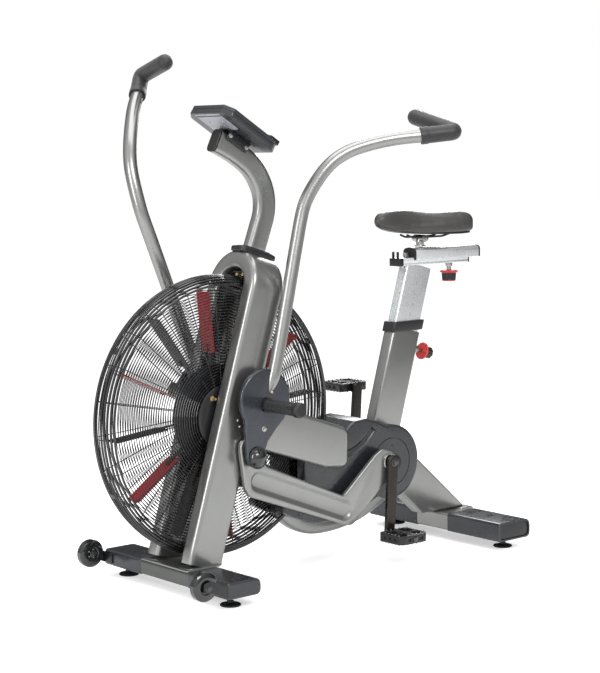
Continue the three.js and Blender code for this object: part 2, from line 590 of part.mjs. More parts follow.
// ---- seat ----
const RAIL = { front: 394, rear: 722, bottom: RAIL_TOP - 26, halfWidth: 24 };
const SLIDER = { front: 455, rear: 770, top: 1018, halfWidth: 29, lip: 9 };

const railBar = box(RAIL.front, RAIL.rear, -RAIL.halfWidth, RAIL.halfWidth, RAIL.bottom, RAIL_TOP);

add('seat_post', 'aluminium', cut(innerPost(), box(0, 900, -60, 60, RAIL.bottom - GAP, 1200)));
add('seat_rail', 'aluminium', railBar);

function seatSlider() {
  const { halfWidth, top, front, rear } = SLIDER;
  const [low, lip, inner] = [RAIL_TOP + GAP, RAIL_TOP - SLIDER.lip, RAIL.halfWidth + GAP];
  const section = rounded([[-halfWidth, lip, 2], [-inner, lip], [-inner, low], [inner, low], [inner, lip],
    [halfWidth, lip, 2], [halfWidth, top - 6, 16], [0, top, 40], [-halfWidth, top - 6, 16]]);
  return new THREE.ExtrudeGeometry(section, { depth: rear - front, bevelEnabled: false })
    .rotateX(Math.PI / 2).rotateZ(Math.PI / 2).translate(front, 0, 0);
}

add('seat_slider', 'aluminium', seatSlider());

const CLAMP = { x: 506, pivotZ: 1046 };
add('saddle_clamp', 'steel', union(drumZ(CLAMP.x, 0, 14, 14, SLIDER.top + GAP, CLAMP.pivotZ, 20),
  drumY(CLAMP.x, CLAMP.pivotZ, 13, -26, 26, 24)));

function saddle() {
  const half = [[300, 14], [330, 26], [380, 36], [440, 50], [500, 73], [550, 96], [595, 110], [640, 112],
    [670, 95], [680, 62]];
  const plan = outline([...half, ...half.map(([x, y]) => [x, -y]).reverse()]);
  const edge = { bevelEnabled: true, bevelThickness: 14, bevelSize: 12, bevelOffset: -12, bevelSegments: 3 };
  const pad = new THREE.ExtrudeGeometry(plan, { depth: 54, ...edge });
  return cut(pad.translate(0, 0, 1074), drumY(CLAMP.x, CLAMP.pivotZ, 13.6, -60, 60, 24));
}

add('saddle', 'saddle', saddle());

function pinKnob() {
  return union(pinBar(PIN.start, PIN.gripEnd, PIN.radius), pinBar(PIN.discStart, PIN.discStart + 7, PIN.discR),
    pinBar(PIN.discStart + 5, PIN.gripEnd, PIN.gripR));
}

const SLIDER_PIN = { x: 645, discTop: 930, bottom: 893 };

function sliderKnob() {
  const { x, discTop, bottom } = SLIDER_PIN;
  return union(drumZ(x, 0, 8, 8, discTop - 4, RAIL.bottom - GAP), drumZ(x, 0, 31, 31, discTop - 8, discTop),
    drumZ(x, 0, 24, 27, bottom, discTop - 6));
}

add('post_pin_knob', 'red', pinKnob());
add('slider_pin_knob', 'red', sliderKnob());

// ---- console ----
const CONSOLE = { x: -289, z: 1428, tilt: 31.7, halfLength: 118, halfWidth: 103, thickness: 30 };
const BUTTON = { x: 70, spacing: 44, radius: 9, count: 3 };

const onConsole = (geometry) => geometry.rotateY((CONSOLE.tilt * Math.PI) / 180)
  .translate(CONSOLE.x, 0, CONSOLE.z);

function slab(width, length, radius, low, high, x = 0) {
  const settings = { depth: high - low, bevelEnabled: false };
  return new THREE.ExtrudeGeometry(roundedRect(length, width, radius), settings).translate(x, 0, low);
}

const button = (index, grow = 0, low = -1, high = 4) =>
  drumZ(BUTTON.x, (index - 1) * BUTTON.spacing, BUTTON.radius + grow, BUTTON.radius + grow, low, high);

function consoleCase() {
  const { halfLength, halfWidth, thickness } = CONSOLE;
  const pockets = Array.from({ length: BUTTON.count }, (_, i) => onConsole(button(i, 0.5, -4, 10)));
  return cut(onConsole(slab(2 * halfWidth, 2 * halfLength, 14, -thickness, 0)), ...pockets);
}

add('console_case', 'plastic', consoleCase());
add('console_screen', 'glass', onConsole(slab(150, 118, 6, GAP, 2.4, -40)));
for (let i = 0; i < BUTTON.count; i += 1) add(`console_button_${i + 1}`, 'black', onConsole(button(i)));
const bracketBlock = onConsole(slab(56, 100, 6, -CONSOLE.thickness - 34, -CONSOLE.thickness - GAP, 18));
add('console_bracket', 'black', cut(bracketBlock, mast(0.4)));

bike.position.x = ORIGIN_SHIFT;

export default bike;
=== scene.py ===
import json
import math

import bmesh
import bpy
from mathutils import Matrix, Vector


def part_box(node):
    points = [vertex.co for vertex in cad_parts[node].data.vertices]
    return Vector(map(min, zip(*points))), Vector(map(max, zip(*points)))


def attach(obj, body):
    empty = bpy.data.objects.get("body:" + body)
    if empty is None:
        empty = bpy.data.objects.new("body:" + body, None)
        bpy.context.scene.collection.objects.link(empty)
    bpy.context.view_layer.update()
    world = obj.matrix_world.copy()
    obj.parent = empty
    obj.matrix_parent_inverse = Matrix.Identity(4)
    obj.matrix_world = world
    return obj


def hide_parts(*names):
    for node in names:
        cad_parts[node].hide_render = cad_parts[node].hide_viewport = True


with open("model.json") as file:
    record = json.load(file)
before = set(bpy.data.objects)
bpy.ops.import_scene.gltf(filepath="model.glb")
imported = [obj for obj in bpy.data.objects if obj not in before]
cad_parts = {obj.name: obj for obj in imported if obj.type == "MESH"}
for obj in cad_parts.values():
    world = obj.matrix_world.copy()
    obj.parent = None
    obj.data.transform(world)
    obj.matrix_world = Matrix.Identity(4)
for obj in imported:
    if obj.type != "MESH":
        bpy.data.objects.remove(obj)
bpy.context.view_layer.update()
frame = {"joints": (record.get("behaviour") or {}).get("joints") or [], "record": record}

# ---- units and the frame ----
# Shapes below are in the design's own millimetres; the model's origin lies ORIGIN_SHIFT further back.
MM = 0.001
ORIGIN_SHIFT = 27
RECORD = frame["record"]
BODY_OF = {node: body for body, nodes in RECORD["behaviour"]["bodies"].items() for node in nodes}
JOINTS = {joint["name"]: joint for joint in frame["joints"]}
LEFT, RIGHT, UP, DOWN = (0, -1, 0), (0, 1, 0), (0, 0, 1), (0, 0, -1)
SIDES = (("left", -1), ("right", 1))


def joint_point(name):
    x, y, z = (value / MM for value in JOINTS[name]["pos_m"])
    return Vector((x - ORIGIN_SHIFT, y, z))


def node_box(node):
    low, high = (Vector(corner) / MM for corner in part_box(node))
    shift = Vector((ORIGIN_SHIFT, 0, 0))
    return low - shift, high - shift


CRANK = joint_point("crank_spin")
FAN = joint_point("fan_spin")
PIVOT = joint_point("left_handle_swing")
PIN = joint_point("left_rod_turn")
WHEEL = joint_point("left_wheel_spin")
CRANK.y = FAN.y = PIVOT.y = PIN.y = 0


# ---- shapes: a list of corners and a list of faces ----
class Shape:
    def __init__(self, corners=(), faces=()):
        self.corners = [Vector(corner) for corner in corners]
        self.faces = [tuple(face) for face in faces]

    def join(self, *others):
        for other in others:
            start = len(self.corners)
            self.corners += [corner.copy() for corner in other.corners]
            self.faces += [tuple(index + start for index in face) for face in other.faces]
        return self

    def moved(self, matrix):
        return Shape([matrix @ corner for corner in self.corners], self.faces)

    def shifted(self, x=0, y=0, z=0):
        return self.moved(Matrix.Translation((x, y, z)))

    def mirrored(self):
        return Shape([(c.x, -c.y, c.z) for c in self.corners], [face[::-1] for face in self.faces])


def joined(*shapes):
    return Shape().join(*shapes)


def turned(shape, centre, degrees):
    spin = Matrix.Rotation(math.radians(degrees), 4, "Y")
    return shape.moved(Matrix.Translation(centre) @ spin @ Matrix.Translation(-centre))


def loft(rings, closed=False):
    count = len(rings[0])
    shape = Shape([corner for ring in rings for corner in ring])
    spans = len(rings) if closed else len(rings) - 1
    for i in range(spans):
        near, far = i * count, (i + 1) % len(rings) * count
        for j in range(count):
            k = (j + 1) % count
            shape.faces.append((near + j, near + k, far + k, far + j))
    if not closed:
        last = (len(rings) - 1) * count
        shape.faces.append(tuple(range(count))[::-1])
        shape.faces.append(tuple(range(last, last + count)))
    return shape


def circle(radius, sides):
    turn = 2 * math.pi / sides
    return [(radius * math.cos(i * turn), radius * math.sin(i * turn)) for i in range(sides)]


def rounded(points, segments=5):
    """Side-view outline whose corners are rounded; each point is (x, z, radius)."""
    corners = []
    for i, (x, z, radius) in enumerate(points):
        here = Vector((x, z))
        before = Vector(points[i - 1][:2]) - here
        after = Vector(points[(i + 1) % len(points)][:2]) - here
        if radius == 0:
            corners.append((x, z))
            continue
        half = before.angle(after) / 2
        reach = min(radius / math.tan(half), before.length * 0.49, after.length * 0.49)
        start = here + before.normalized() * reach
        end = here + after.normalized() * reach
        for j in range(segments + 1):
            t = j / segments
            corner = start * (1 - t) ** 2 + here * 2 * t * (1 - t) + end * t ** 2
            corners.append((corner.x, corner.y))
    return corners


def round_rect(width, height, radius, segments=6):
    w, h = width / 2, height / 2
    return rounded([(-w, -h, radius), (w, -h, radius), (w, h, radius), (-w, h, radius)], segments)


def smooth_path(points, per_span=8, power=0.5):
    """A Catmull-Rom curve through the points, as dense corners."""
    knots = [Vector(p) for p in points]
    knots = [knots[0] * 2 - knots[1], *knots, knots[-1] * 2 - knots[-2]]
    path = []
    for p0, p1, p2, p3 in zip(knots, knots[1:], knots[2:], knots[3:]):
        d0, d1, d2 = ((b - a).length ** power for a, b in ((p0, p1), (p1, p2), (p2, p3)))
        t1 = ((p1 - p0) / d0 - (p2 - p0) / (d0 + d1) + (p2 - p1) / d1) * d1
        t2 = ((p2 - p1) / d1 - (p3 - p1) / (d1 + d2) + (p3 - p2) / d2) * d1
        for i in range(per_span):
            t = i / per_span
            hermite = p1 * (2 * t ** 3 - 3 * t ** 2 + 1) + t1 * (t ** 3 - 2 * t ** 2 + t)
            path.append(hermite + p2 * (3 * t ** 2 - 2 * t ** 3) + t2 * (t ** 3 - t ** 2))
    path.append(knots[-2])
    return path


def relaxed(path, times):
    """The same path with its bends eased; its ends stay where they are."""
    for _ in range(times):
        inner = [(a + b * 2 + c) / 4 for a, b, c in zip(path, path[1:], path[2:])]
        path = [path[0], *inner, path[-1]]
    return path


def tangents(path):
    ends = [path[0]] + path[:-1], path[1:] + [path[-1]]
    return [(b - a).normalized() for a, b in zip(*ends)]


def sweep(path, section, side=RIGHT, scale=None):
    """Section (u, v) carried along a path: u lies along side, v across it."""
    path = [Vector(p) for p in path]
    rings = []
    for i, (place, ahead) in enumerate(zip(path, tangents(path))):
        across = Vector(side) - ahead * ahead.dot(Vector(side))
        across.normalize()
        up = ahead.cross(across)
        grow = scale(i / (len(path) - 1)) if scale else 1
        rings.append([place + across * u * grow + up * v * grow for u, v in section])
    return loft(rings)


def tube(path, radius, sides=20, side=RIGHT):
    return sweep(path, circle(radius, sides), side)


def on_circle(x, z, radius, degrees):
    angle = math.radians(degrees)
    return x + radius * math.cos(angle), z + radius * math.sin(angle)


def plate(outline, y0, y1):
    """A flat plate between two side planes; its outline is seen from the side."""
    return loft([[(x, y, z) for x, z in outline] for y in sorted((y0, y1), reverse=True)])


def level_plate(outline, low, high):
    """A flat plate between two heights; its outline is seen from above."""
    return loft([[(x, y, z) for x, y in outline] for z in (low, high)])


def inset_outline(outline, inset):
    """The same outline drawn in towards its own middle."""
    area = sum(a[0] * b[1] - b[0] * a[1] for a, b in zip(outline, outline[1:] + outline[:1]))
    way = 1 if area > 0 else -1
    result = []
    for i, (x, z) in enumerate(outline):
        here, following = Vector((x, z)), Vector(outline[(i + 1) % len(outline)])
        before = (here - Vector(outline[i - 1])).normalized()
        after = (following - here).normalized()
        ahead = (before + after).normalized()
        moved = here + Vector((-ahead.y, ahead.x)) * way * inset / max(ahead.dot(after), 0.5)
        result.append((moved.x, moved.y))
    return result


def soft_plate(outline, y0, y1, edge, steps=6):
    """A plate between two side planes, with its rims rounded over."""
    low, high = min(y0, y1), max(y0, y1)
    angles = [math.pi / 2 * i / steps for i in range(steps + 1)]
    profile = [(edge * (1 - math.sin(a)), edge * (1 - math.cos(a))) for a in angles]
    rings = [(inset, high - along) for inset, along in profile]
    rings += [(inset, low + along) for inset, along in reversed(profile)]
    return loft([[(x, y, z) for x, z in inset_outline(outline, inset)] for inset, y in rings])


def lathe(profile, centre, axis=RIGHT, sides=48):
    """Solid of revolution from (radius, distance along the axis) points; it closes on itself."""
    ahead = Vector(axis).normalized()
    across = ahead.orthogonal().normalized()
    up = ahead.cross(across)
    rings = []
    for i in range(sides):
        angle = 2 * math.pi * i / sides
        out = across * math.cos(angle) + up * math.sin(angle)
        rings.append([Vector(centre) + out * radius + ahead * along for radius, along in profile])
    return loft(rings, closed=True)


def drum(centre, radius, start, end, axis=RIGHT, edge=1.0, sides=40):
    """A cylinder with rounded rims, between two distances along its axis."""
    low, high = min(start, end), max(start, end)
    edge = min(edge, radius * 0.45, (high - low) * 0.45)
    soft = edge * 0.3
    profile = [(0, low), (radius - edge, low), (radius - soft, low + soft), (radius, low + edge),
               (radius, high - edge), (radius - soft, high - soft), (radius - edge, high), (0, high)]
    return lathe(profile, centre, axis, sides)


def upright(x, y, radius, low, high, edge, sides=40):
    """A drum that stands on end, between two heights."""
    return drum(Vector((x, y, 0)), radius, low, high, UP, edge, sides)


def torus(centre, radius, wire, sides=96, wire_sides=6, y=0):
    profile = [(radius + wire * u, y + wire * v) for u, v in circle(1, wire_sides)]
    return lathe(profile, centre, sides=sides)


def bar(start, end, radius, sides=6):
    return sweep([start, end], circle(radius, sides), (end - start).orthogonal())


def box(x0, x1, y0, y1, z0, z1):
    return plate([(x0, z0), (x1, z0), (x1, z1), (x0, z1)], y0, y1)


def hex_bolt(place, axis, across, height):
    ahead = Vector(axis).normalized()
    washer = drum(place, across * 0.72, 0, height * 0.2, ahead, 0.5, 32)
    head = drum(place, across * 0.56, height * 0.2, height, ahead, 1.2, 6)
    return joined(washer, head)


def button_bolt(place, axis, radius, height):
    """A domed bolt with a socket in its head."""
    socket = radius * 0.42
    profile = [(0, height * 0.45), (socket, height * 0.45), (socket, height * 0.95), (radius * 0.55, height),
               (radius * 0.85, height * 0.7), (radius, height * 0.2), (radius, 0), (0, 0)]
    return lathe(profile, place, axis, 24)


# ---- objects ----
MERGE_DISTANCE = 0.02
BEVEL_ANGLE = 32


def to_metres(shape):
    return [((c.x + ORIGIN_SHIFT) * MM, c.y * MM, c.z * MM) for c in shape.corners]


def raw_object(name, shape):
    mesh = bpy.data.meshes.new(name)
    mesh.from_pydata(to_metres(shape), [], shape.faces)
    cleaner = bmesh.new()
    cleaner.from_mesh(mesh)
    bmesh.ops.remove_doubles(cleaner, verts=cleaner.verts, dist=MERGE_DISTANCE * MM)
    bmesh.ops.recalc_face_normals(cleaner, faces=cleaner.faces)
    cleaner.to_mesh(mesh)
    cleaner.free()
    obj = bpy.data.objects.new(name, mesh)
    bpy.context.scene.collection.objects.link(obj)
    return obj


def apply_modifiers(obj):
    evaluated = obj.evaluated_get(bpy.context.evaluated_depsgraph_get())
    mesh = bpy.data.meshes.new_from_object(evaluated)
    obj.modifiers.clear()
    obj.data = mesh


def carve(obj, shape):
    cutter = raw_object("cutter", shape)
    change = obj.modifiers.new("carve", "BOOLEAN")
    change.operation = "DIFFERENCE"
    change.solver = "EXACT"
    change.object = cutter
    bpy.context.view_layer.update()
    apply_modifiers(obj)
    bpy.data.objects.remove(cutter)


def soften(obj, width, segments):
    bevel = obj.modifiers.new("bevel", "BEVEL")
    bevel.width = width * MM
    bevel.segments = segments
    bevel.limit_method = "ANGLE"
    bevel.angle_limit = math.radians(BEVEL_ANGLE)
    bevel.use_clamp_overlap = True
    bevel.harden_normals = False
    apply_modifiers(obj)


def shade(obj, angle):
    for face in obj.data.polygons:
        face.use_smooth = True
    obj.data.set_sharp_from_angle(angle=math.radians(angle))


def piece(name, shape, finish, node, replaces=(), edge=0, segments=3, cuts=(), late_cuts=(), slot=None,
          angle=34):
    """A visible piece that belongs to a CAD node: it rides on that node's body."""
    obj = raw_object(name, shape)
    for cut in cuts:
        carve(obj, cut)
    if edge:
        soften(obj, edge, segments)
    for cut in late_cuts:
        carve(obj, cut)
    shade(obj, angle)
    obj.data.materials.clear()
    obj.data.materials.append(FINISHES[finish])
    slot = slot or FINISH_SLOTS.get(finish)
    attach(obj, BODY_OF[node])
    if replaces:
        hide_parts(*([replaces] if isinstance(replaces, str) else replaces))
    return obj


def pair(name, shape, finish, node, right=None, cuts=(), late_cuts=(), stands_in=True, **options):
    """The left piece and its right-hand twin; node names end in _left and _right."""
    right = right or (lambda item: item.mirrored())
    for side, change in (("left", lambda item: item), ("right", right)):
        full = f"{node}_{side}"
        piece(f"{name}_{side}", change(shape), finish, full, replaces=full if stands_in else (),
              cuts=[change(cut) for cut in cuts], late_cuts=[change(cut) for cut in late_cuts], **options)


# ---- finishes ----
def noise(nodes, links, scale, detail, coordinates):
    texture = nodes.new("ShaderNodeTexNoise")
    texture.inputs["Scale"].default_value = scale
    texture.inputs["Detail"].default_value = detail
    texture.inputs["Roughness"].default_value = 0.6
    links.new(coordinates.outputs["Object"], texture.inputs["Vector"])
    return texture


def ramp(nodes, links, source, stops):
    result = nodes.new("ShaderNodeValToRGB")
    for element, (place, value) in zip(result.color_ramp.elements, stops):
        element.position = place
        element.color = (*value, 1) if isinstance(value, tuple) else (value, value, value, 1)
    links.new(source, result.inputs["Fac"])
    return result


def finish(name, colour, metal, rough, grain=900, grain_depth=0.0002, bump=0.15, vary=0.08, rough_vary=0.08,
           wear=0.0, wear_colour=(0.6, 0.6, 0.6), coat=0.0, coat_rough=0.15, stretch=(1, 1, 1), sheen=0.0,
           voronoi=0):
    """A procedural material: fine grain as bump, slow blotches in colour and roughness, wear on edges."""
    material = bpy.data.materials.new(name)
    material.use_nodes = True
    nodes, links = material.node_tree.nodes, material.node_tree.links
    shader = nodes["Principled BSDF"]
    coordinates = nodes.new("ShaderNodeTexCoord")
    blotch = noise(nodes, links, 9, 4, coordinates)
    dark = tuple(max(channel * (1 - vary), 0) for channel in colour)
    light = tuple(min(channel * (1 + vary), 1) for channel in colour)
    tint = ramp(nodes, links, blotch.outputs["Fac"], [(0.3, dark), (0.7, light)])
    base = tint.outputs["Color"]
    if wear:
        edges = nodes.new("ShaderNodeBevel")
        edges.inputs["Radius"].default_value = 0.0012
        edges.samples = 4
        facing = nodes.new("ShaderNodeNewGeometry")
        turn = nodes.new("ShaderNodeVectorMath")
        turn.operation = "DOT_PRODUCT"
        links.new(edges.outputs["Normal"], turn.inputs[0])
        links.new(facing.outputs["Normal"], turn.inputs[1])
        rubbed = ramp(nodes, links, turn.outputs["Value"], [(0.90, wear), (0.995, 0.0)])
        mix = nodes.new("ShaderNodeMix")
        mix.data_type = "RGBA"
        links.new(rubbed.outputs["Color"], mix.inputs["Factor"])
        links.new(base, mix.inputs["A"])
        mix.inputs["B"].default_value = (*wear_colour, 1)
        base = mix.outputs["Result"]
    links.new(base, shader.inputs["Base Color"])
    shader.inputs["Metallic"].default_value = metal
    gloss = ramp(nodes, links, noise(nodes, links, 26, 5, coordinates).outputs["Fac"],
                 [(0.3, max(rough - rough_vary, 0.03)), (0.7, min(rough + rough_vary, 1))])
    links.new(gloss.outputs["Color"], shader.inputs["Roughness"])
    shader.inputs["Coat Weight"].default_value = coat
    shader.inputs["Coat Roughness"].default_value = coat_rough
    shader.inputs["Sheen Weight"].default_value = sheen
    spread = nodes.new("ShaderNodeMapping")
    spread.inputs["Scale"].default_value = stretch
    links.new(coordinates.outputs["Object"], spread.inputs["Vector"])
    if voronoi:
        fine = nodes.new("ShaderNodeTexVoronoi")
        fine.feature = "DISTANCE_TO_EDGE"
        fine.inputs["Scale"].default_value = voronoi
        height = fine.outputs["Distance"]
    else:
        fine = nodes.new("ShaderNodeTexNoise")
        fine.inputs["Scale"].default_value = grain
        fine.inputs["Detail"].default_value = 3
        height = fine.outputs["Fac"]
    links.new(spread.outputs["Vector"], fine.inputs["Vector"])
    relief = nodes.new("ShaderNodeBump")
    relief.inputs["Strength"].default_value = bump
    relief.inputs["Distance"].default_value = grain_depth
    links.new(height, relief.inputs["Height"])
    links.new(relief.outputs["Normal"], shader.inputs["Normal"])
    return material


FINISHES = {
    "silver": finish("silver_powder_coat", (0.33, 0.335, 0.325), 0.88, 0.29, grain=1500, bump=0.02, vary=0.03,
                     rough_vary=0.02, coat=0.25, coat_rough=0.12),
    "slate": finish("slate_powder_coat", (0.040, 0.043, 0.050), 0.3, 0.30, grain=1400, bump=0.03, vary=0.06,
                    coat=0.35, coat_rough=0.15),
    # Darker paint for the front bar's middle between the fork legs: painted shade for the shadow and dark
    # reflections that fall there.
    "graphite": finish("graphite_painted_shade", (0.11, 0.115, 0.11), 0.65, 0.36, grain=1300, bump=0.12, vary=0.06,
                       coat=0.2),
    "wire": finish("black_wire_coat", (0.014, 0.014, 0.016), 0.3, 0.24, grain=1200, bump=0.05, coat=0.8,
                   coat_rough=0.08),
    "black_paint": finish("black_powder_coat", (0.014, 0.014, 0.016), 0.1, 0.42, grain=1300, bump=0.2,
                          coat=0.3, wear=0.25, wear_colour=(0.2, 0.2, 0.2)),
    "shell": finish("moulded_grey_plastic", (0.021, 0.023, 0.028), 0.0, 0.28, grain=2200, bump=0.05,
                    vary=0.05, coat=0.55, coat_rough=0.18),
    "lever": finish("satin_dark_cover", (0.050, 0.056, 0.066), 0.6, 0.24, grain=2000, bump=0.02, vary=0.05,
                    coat=0.5, coat_rough=0.18),
    "black_plastic": finish("black_plastic", (0.007, 0.007, 0.008), 0.0, 0.36, grain=1800, bump=0.18,
                            coat=0.2, wear=0.3, wear_colour=(0.12, 0.12, 0.12)),
    "gloss_black": finish("gloss_black", (0.008, 0.009, 0.010), 0.0, 0.09, bump=0.02, rough_vary=0.02,
                          coat=1.0, coat_rough=0.03),
    "rubber": finish("black_rubber", (0.011, 0.011, 0.012), 0.0, 0.58, grain=1100, bump=0.35, vary=0.12),
    "grip": finish("grip_rubber", (0.018, 0.018, 0.020), 0.0, 0.48, grain=1500, bump=0.08, sheen=0.2),
    "steel": finish("plated_steel", (0.46, 0.46, 0.45), 1.0, 0.24, grain=700, bump=0.08, wear=0.3,
                    wear_colour=(0.8, 0.8, 0.8)),
    "brass": finish("yellow_zinc", (0.60, 0.47, 0.25), 1.0, 0.28, grain=700, bump=0.08, vary=0.1),
    "crank": finish("bronze_black_steel", (0.050, 0.045, 0.040), 0.85, 0.28, bump=0.10, vary=0.1,
                    wear=0.3, wear_colour=(0.28, 0.26, 0.24)),
    "dark_steel": finish("blackened_steel", (0.11, 0.11, 0.11), 0.9, 0.30, grain=700, bump=0.08),
    "peg": finish("satin_peg_steel", (0.10, 0.10, 0.10), 0.7, 0.30, bump=0.1),
    "aluminium": finish("polished_aluminium", (0.84, 0.86, 0.87), 0.75, 0.28, grain=500, bump=0.01, vary=0.03,
                        rough_vary=0.04, stretch=(1, 1, 0.05)),
    "saddle": finish("saddle_vinyl", (0.044, 0.042, 0.040), 0.0, 0.40, voronoi=620, grain_depth=0.0003,
                     bump=0.08, vary=0.10, coat=0.20, coat_rough=0.30),
    "red": finish("red_plastic", (0.62, 0.028, 0.022), 0.0, 0.28, bump=0.05, vary=0.05, coat=0.5,
                  coat_rough=0.1),
    "red_blade": finish("red_blade_paint", (0.42, 0.008, 0.014), 0.0, 0.42, bump=0.1, coat=0.3),
    "blade": finish("dark_blade", (0.030, 0.031, 0.033), 0.5, 0.40, bump=0.1, vary=0.1, coat=0.2),
    "case": finish("console_plastic", (0.026, 0.029, 0.033), 0.0, 0.33, grain=2000, bump=0.05, vary=0.05,
                   coat=0.3),
    "glass": finish("console_window", (0.010, 0.014, 0.018), 0.0, 0.07, bump=0.0, rough_vary=0.02, coat=1.0,
                    coat_rough=0.02),
    "label": finish("pale_plate", (0.36, 0.37, 0.41), 0.3, 0.38, bump=0.06, vary=0.05),
    "belt": finish("belt_rubber", (0.015, 0.015, 0.016), 0.0, 0.70, bump=0.3, vary=0.1),
}
# Material slot names for some finishes; piece() looks them up but does not give any piece a slot.
FINISH_SLOTS = {"steel": "steel", "dark_steel": "steel", "brass": "steel", "black_plastic": "black_plastic"}

# ---- driving dimensions, as in the solid model ----
FRONT_LEG_X = -518
STABILIZER = {"half_length": 322, "bottom": 33}
FRONT_BAR = {"x": -528, "width": 128, "top": 84}
REAR_BAR = {"x": 636, "width": 152, "top": 97}
FORK = {"lean": 0.308, "foot_z": 74, "y": 87, "thickness": 58, "width": 128, "arch_z": 915}
LEG_OUTER, ROD_INNER, ROD_OUTER, LEVER_INNER, LEVER_OUTER = 116, 121, 139, 146, 164
BALL = Vector((-348, 0, 410))
HANDLE_PHASE = 39
COLLAR = Vector((-222, 0, 1030))
SEAT_LEAN = 0.292
POST_BASE = Vector((307, 0, 345))
POST_TOP = 743
SEAT_TUBE = {"length": 126, "width": 50}
POST = {"start": 520, "length": 113, "width": 41}
RAIL_TOP = 983
GUARD_FACE_Y = 48
CONSOLE = Vector((-289, 0, 1428))
CONSOLE_TILT = 31.7


def handle_phase(shape):
    return turned(shape.mirrored(), PIVOT, -HANDLE_PHASE)


def crank_phase(shape):
    return turned(shape.mirrored(), CRANK, 180)


# ---- base ----
def bar_section(bar, inset=0.0):
    low, top, w = STABILIZER["bottom"] + inset, bar["top"] - inset, bar["width"] / 2 - inset
    return rounded([(-w, low, 9), (w, low, 20), (w, top, 27), (-w, top, 11)], 8)


def bar_stretch(bar, y0, y1, inset=0.0, edge=0.0):
    outline = bar_section(bar, inset)
    return (soft_plate(outline, y0, y1, edge) if edge else plate(outline, y0, y1)).shifted(bar["x"])


def build_stabilizer(node, bar, cover_start, middle_finish, recessed):
    end = STABILIZER["half_length"]
    middle = bar_stretch(bar, -cover_start - 6, cover_start + 6, 2)
    piece(node + "_tube", middle, middle_finish, node, replaces=node)
    for label, side in SIDES:
        cover = bar_stretch(bar, side * cover_start, side * end, 0, 3 if recessed else 7)
        pocket = bar_stretch(bar, side * (end - 8), side * (end + 8), 6)
        piece(f"{node}_cover_{label}", cover, "slate", node, cuts=[pocket] if recessed else ())
        if recessed:
            cap = bar_stretch(bar, side * (end - 12), side * (end - 4), 6.5, 2)
            piece(f"{node}_end_cap_{label}", cap, "black_plastic", node)


def build_feet():
    profile = [(0, 0), (30, 0), (32, 1.5), (32, 4), (30, 6), (17, 7), (13, 9), (8, 10), (0, 10)]
    top = STABILIZER["bottom"]
    for end in ("front", "rear"):
        for side in ("left", "right"):
            node = f"{end}_foot_{side}"
            low, high = node_box(node)
            x, y = (low.x + high.x) / 2, (low.y + high.y) / 2
            piece(f"{node}_pad", lathe(profile, (x, y, 0), UP, 40), "rubber", node, replaces=node)
            stud = joined(upright(x, y, 6, 8, top + 3, 0.5, 20), upright(x, y, 12, 9, 15, 1, 6),
                          upright(x, y, 12, 26, top - 0.5, 1, 6))
            piece(f"{node}_stud", stud, "black_plastic", node, slot="steel")


def build_wheels():
    half, radius = 14, 44
    tread = [(8, -half + 3), (20, -half + 3), (23, -half), (36, -half), (41, -half + 3), (radius, -8),
             (radius, 8), (41, half - 3), (36, half), (23, half), (20, half - 3), (8, half - 3)]
    wheel = lathe(tread, WHEEL, sides=64)
    pair("wheel", wheel, "gloss_black", "transport_wheel")
    rivets = []
    for i in range(5):
        angle = math.radians(72 * i)
        spot = WHEEL + Vector((14 * math.cos(angle), half - 3.6, 14 * math.sin(angle)))
        rivets.append(button_bolt(spot, RIGHT, 2.6, 2))
    pair("wheel_rivets", joined(*rivets), "steel", "transport_wheel", stands_in=False)
    front = FRONT_BAR["x"] - FRONT_BAR["width"] / 2
    outer = WHEEL.y - half - 3
    cheek = rounded([(WHEEL.x - 15, 69, 13), (WHEEL.x + 18, 64, 6), (front - 0.4, 40, 4),
                     (front - 0.4, 76, 4), (WHEEL.x + 14, 101, 14), (WHEEL.x - 15, 98, 14)])
    pair("wheel_cheek", plate(cheek, outer - 7, outer), "black_paint", "wheel_bracket", edge=1.5)
    flange = box(front - 5, front - 0.4, outer - 5, outer + 40, 42, 72)
    pair("wheel_flange", flange, "black_paint", "wheel_bracket", stands_in=False, edge=1.5)
    centre = Vector((WHEEL.x, 0, WHEEL.z))
    axle = joined(hex_bolt(Vector((WHEEL.x, outer - 7, WHEEL.z)), LEFT, 16, 7),
                  hex_bolt(Vector((WHEEL.x, WHEEL.y + half + 0.5, WHEEL.z)), RIGHT, 16, 8),
                  drum(centre, 6, outer - 1, WHEEL.y + half + 2, edge=0.5, sides=20))
    pair("wheel_axle", axle, "dark_steel", "wheel_bracket", stands_in=False)


# ---- frame ----
def leg_centre(z):
    return FRONT_LEG_X + FORK["lean"] * (z - FORK["foot_z"])


def fork_path():
    lean = Vector((FORK["lean"], 0, 1)).normalized()
    y, arch = FORK["y"], FORK["arch_z"]
    foot = FRONT_BAR["top"] + 0.5
    rise = [foot, 140, 260, 380, 500, 620, 740, 830]
    left = [Vector((leg_centre(z), -y, z)) for z in rise]
    top = []
    for i in range(25):
        t = math.pi * i / 24
        top.append(Vector((leg_centre(arch), -y * math.cos(t), arch)) + lean * (y * math.sin(t)))
    return left + top + [Vector((p.x, -p.y, p.z)) for p in reversed(left)]


ON_LEAN = Matrix.Translation(COLLAR) @ Matrix.Rotation(math.atan(FORK["lean"]), 4, "Y")


def slab_on_lean(outline, low, high):
    return level_plate(outline, low, high).moved(ON_LEAN)


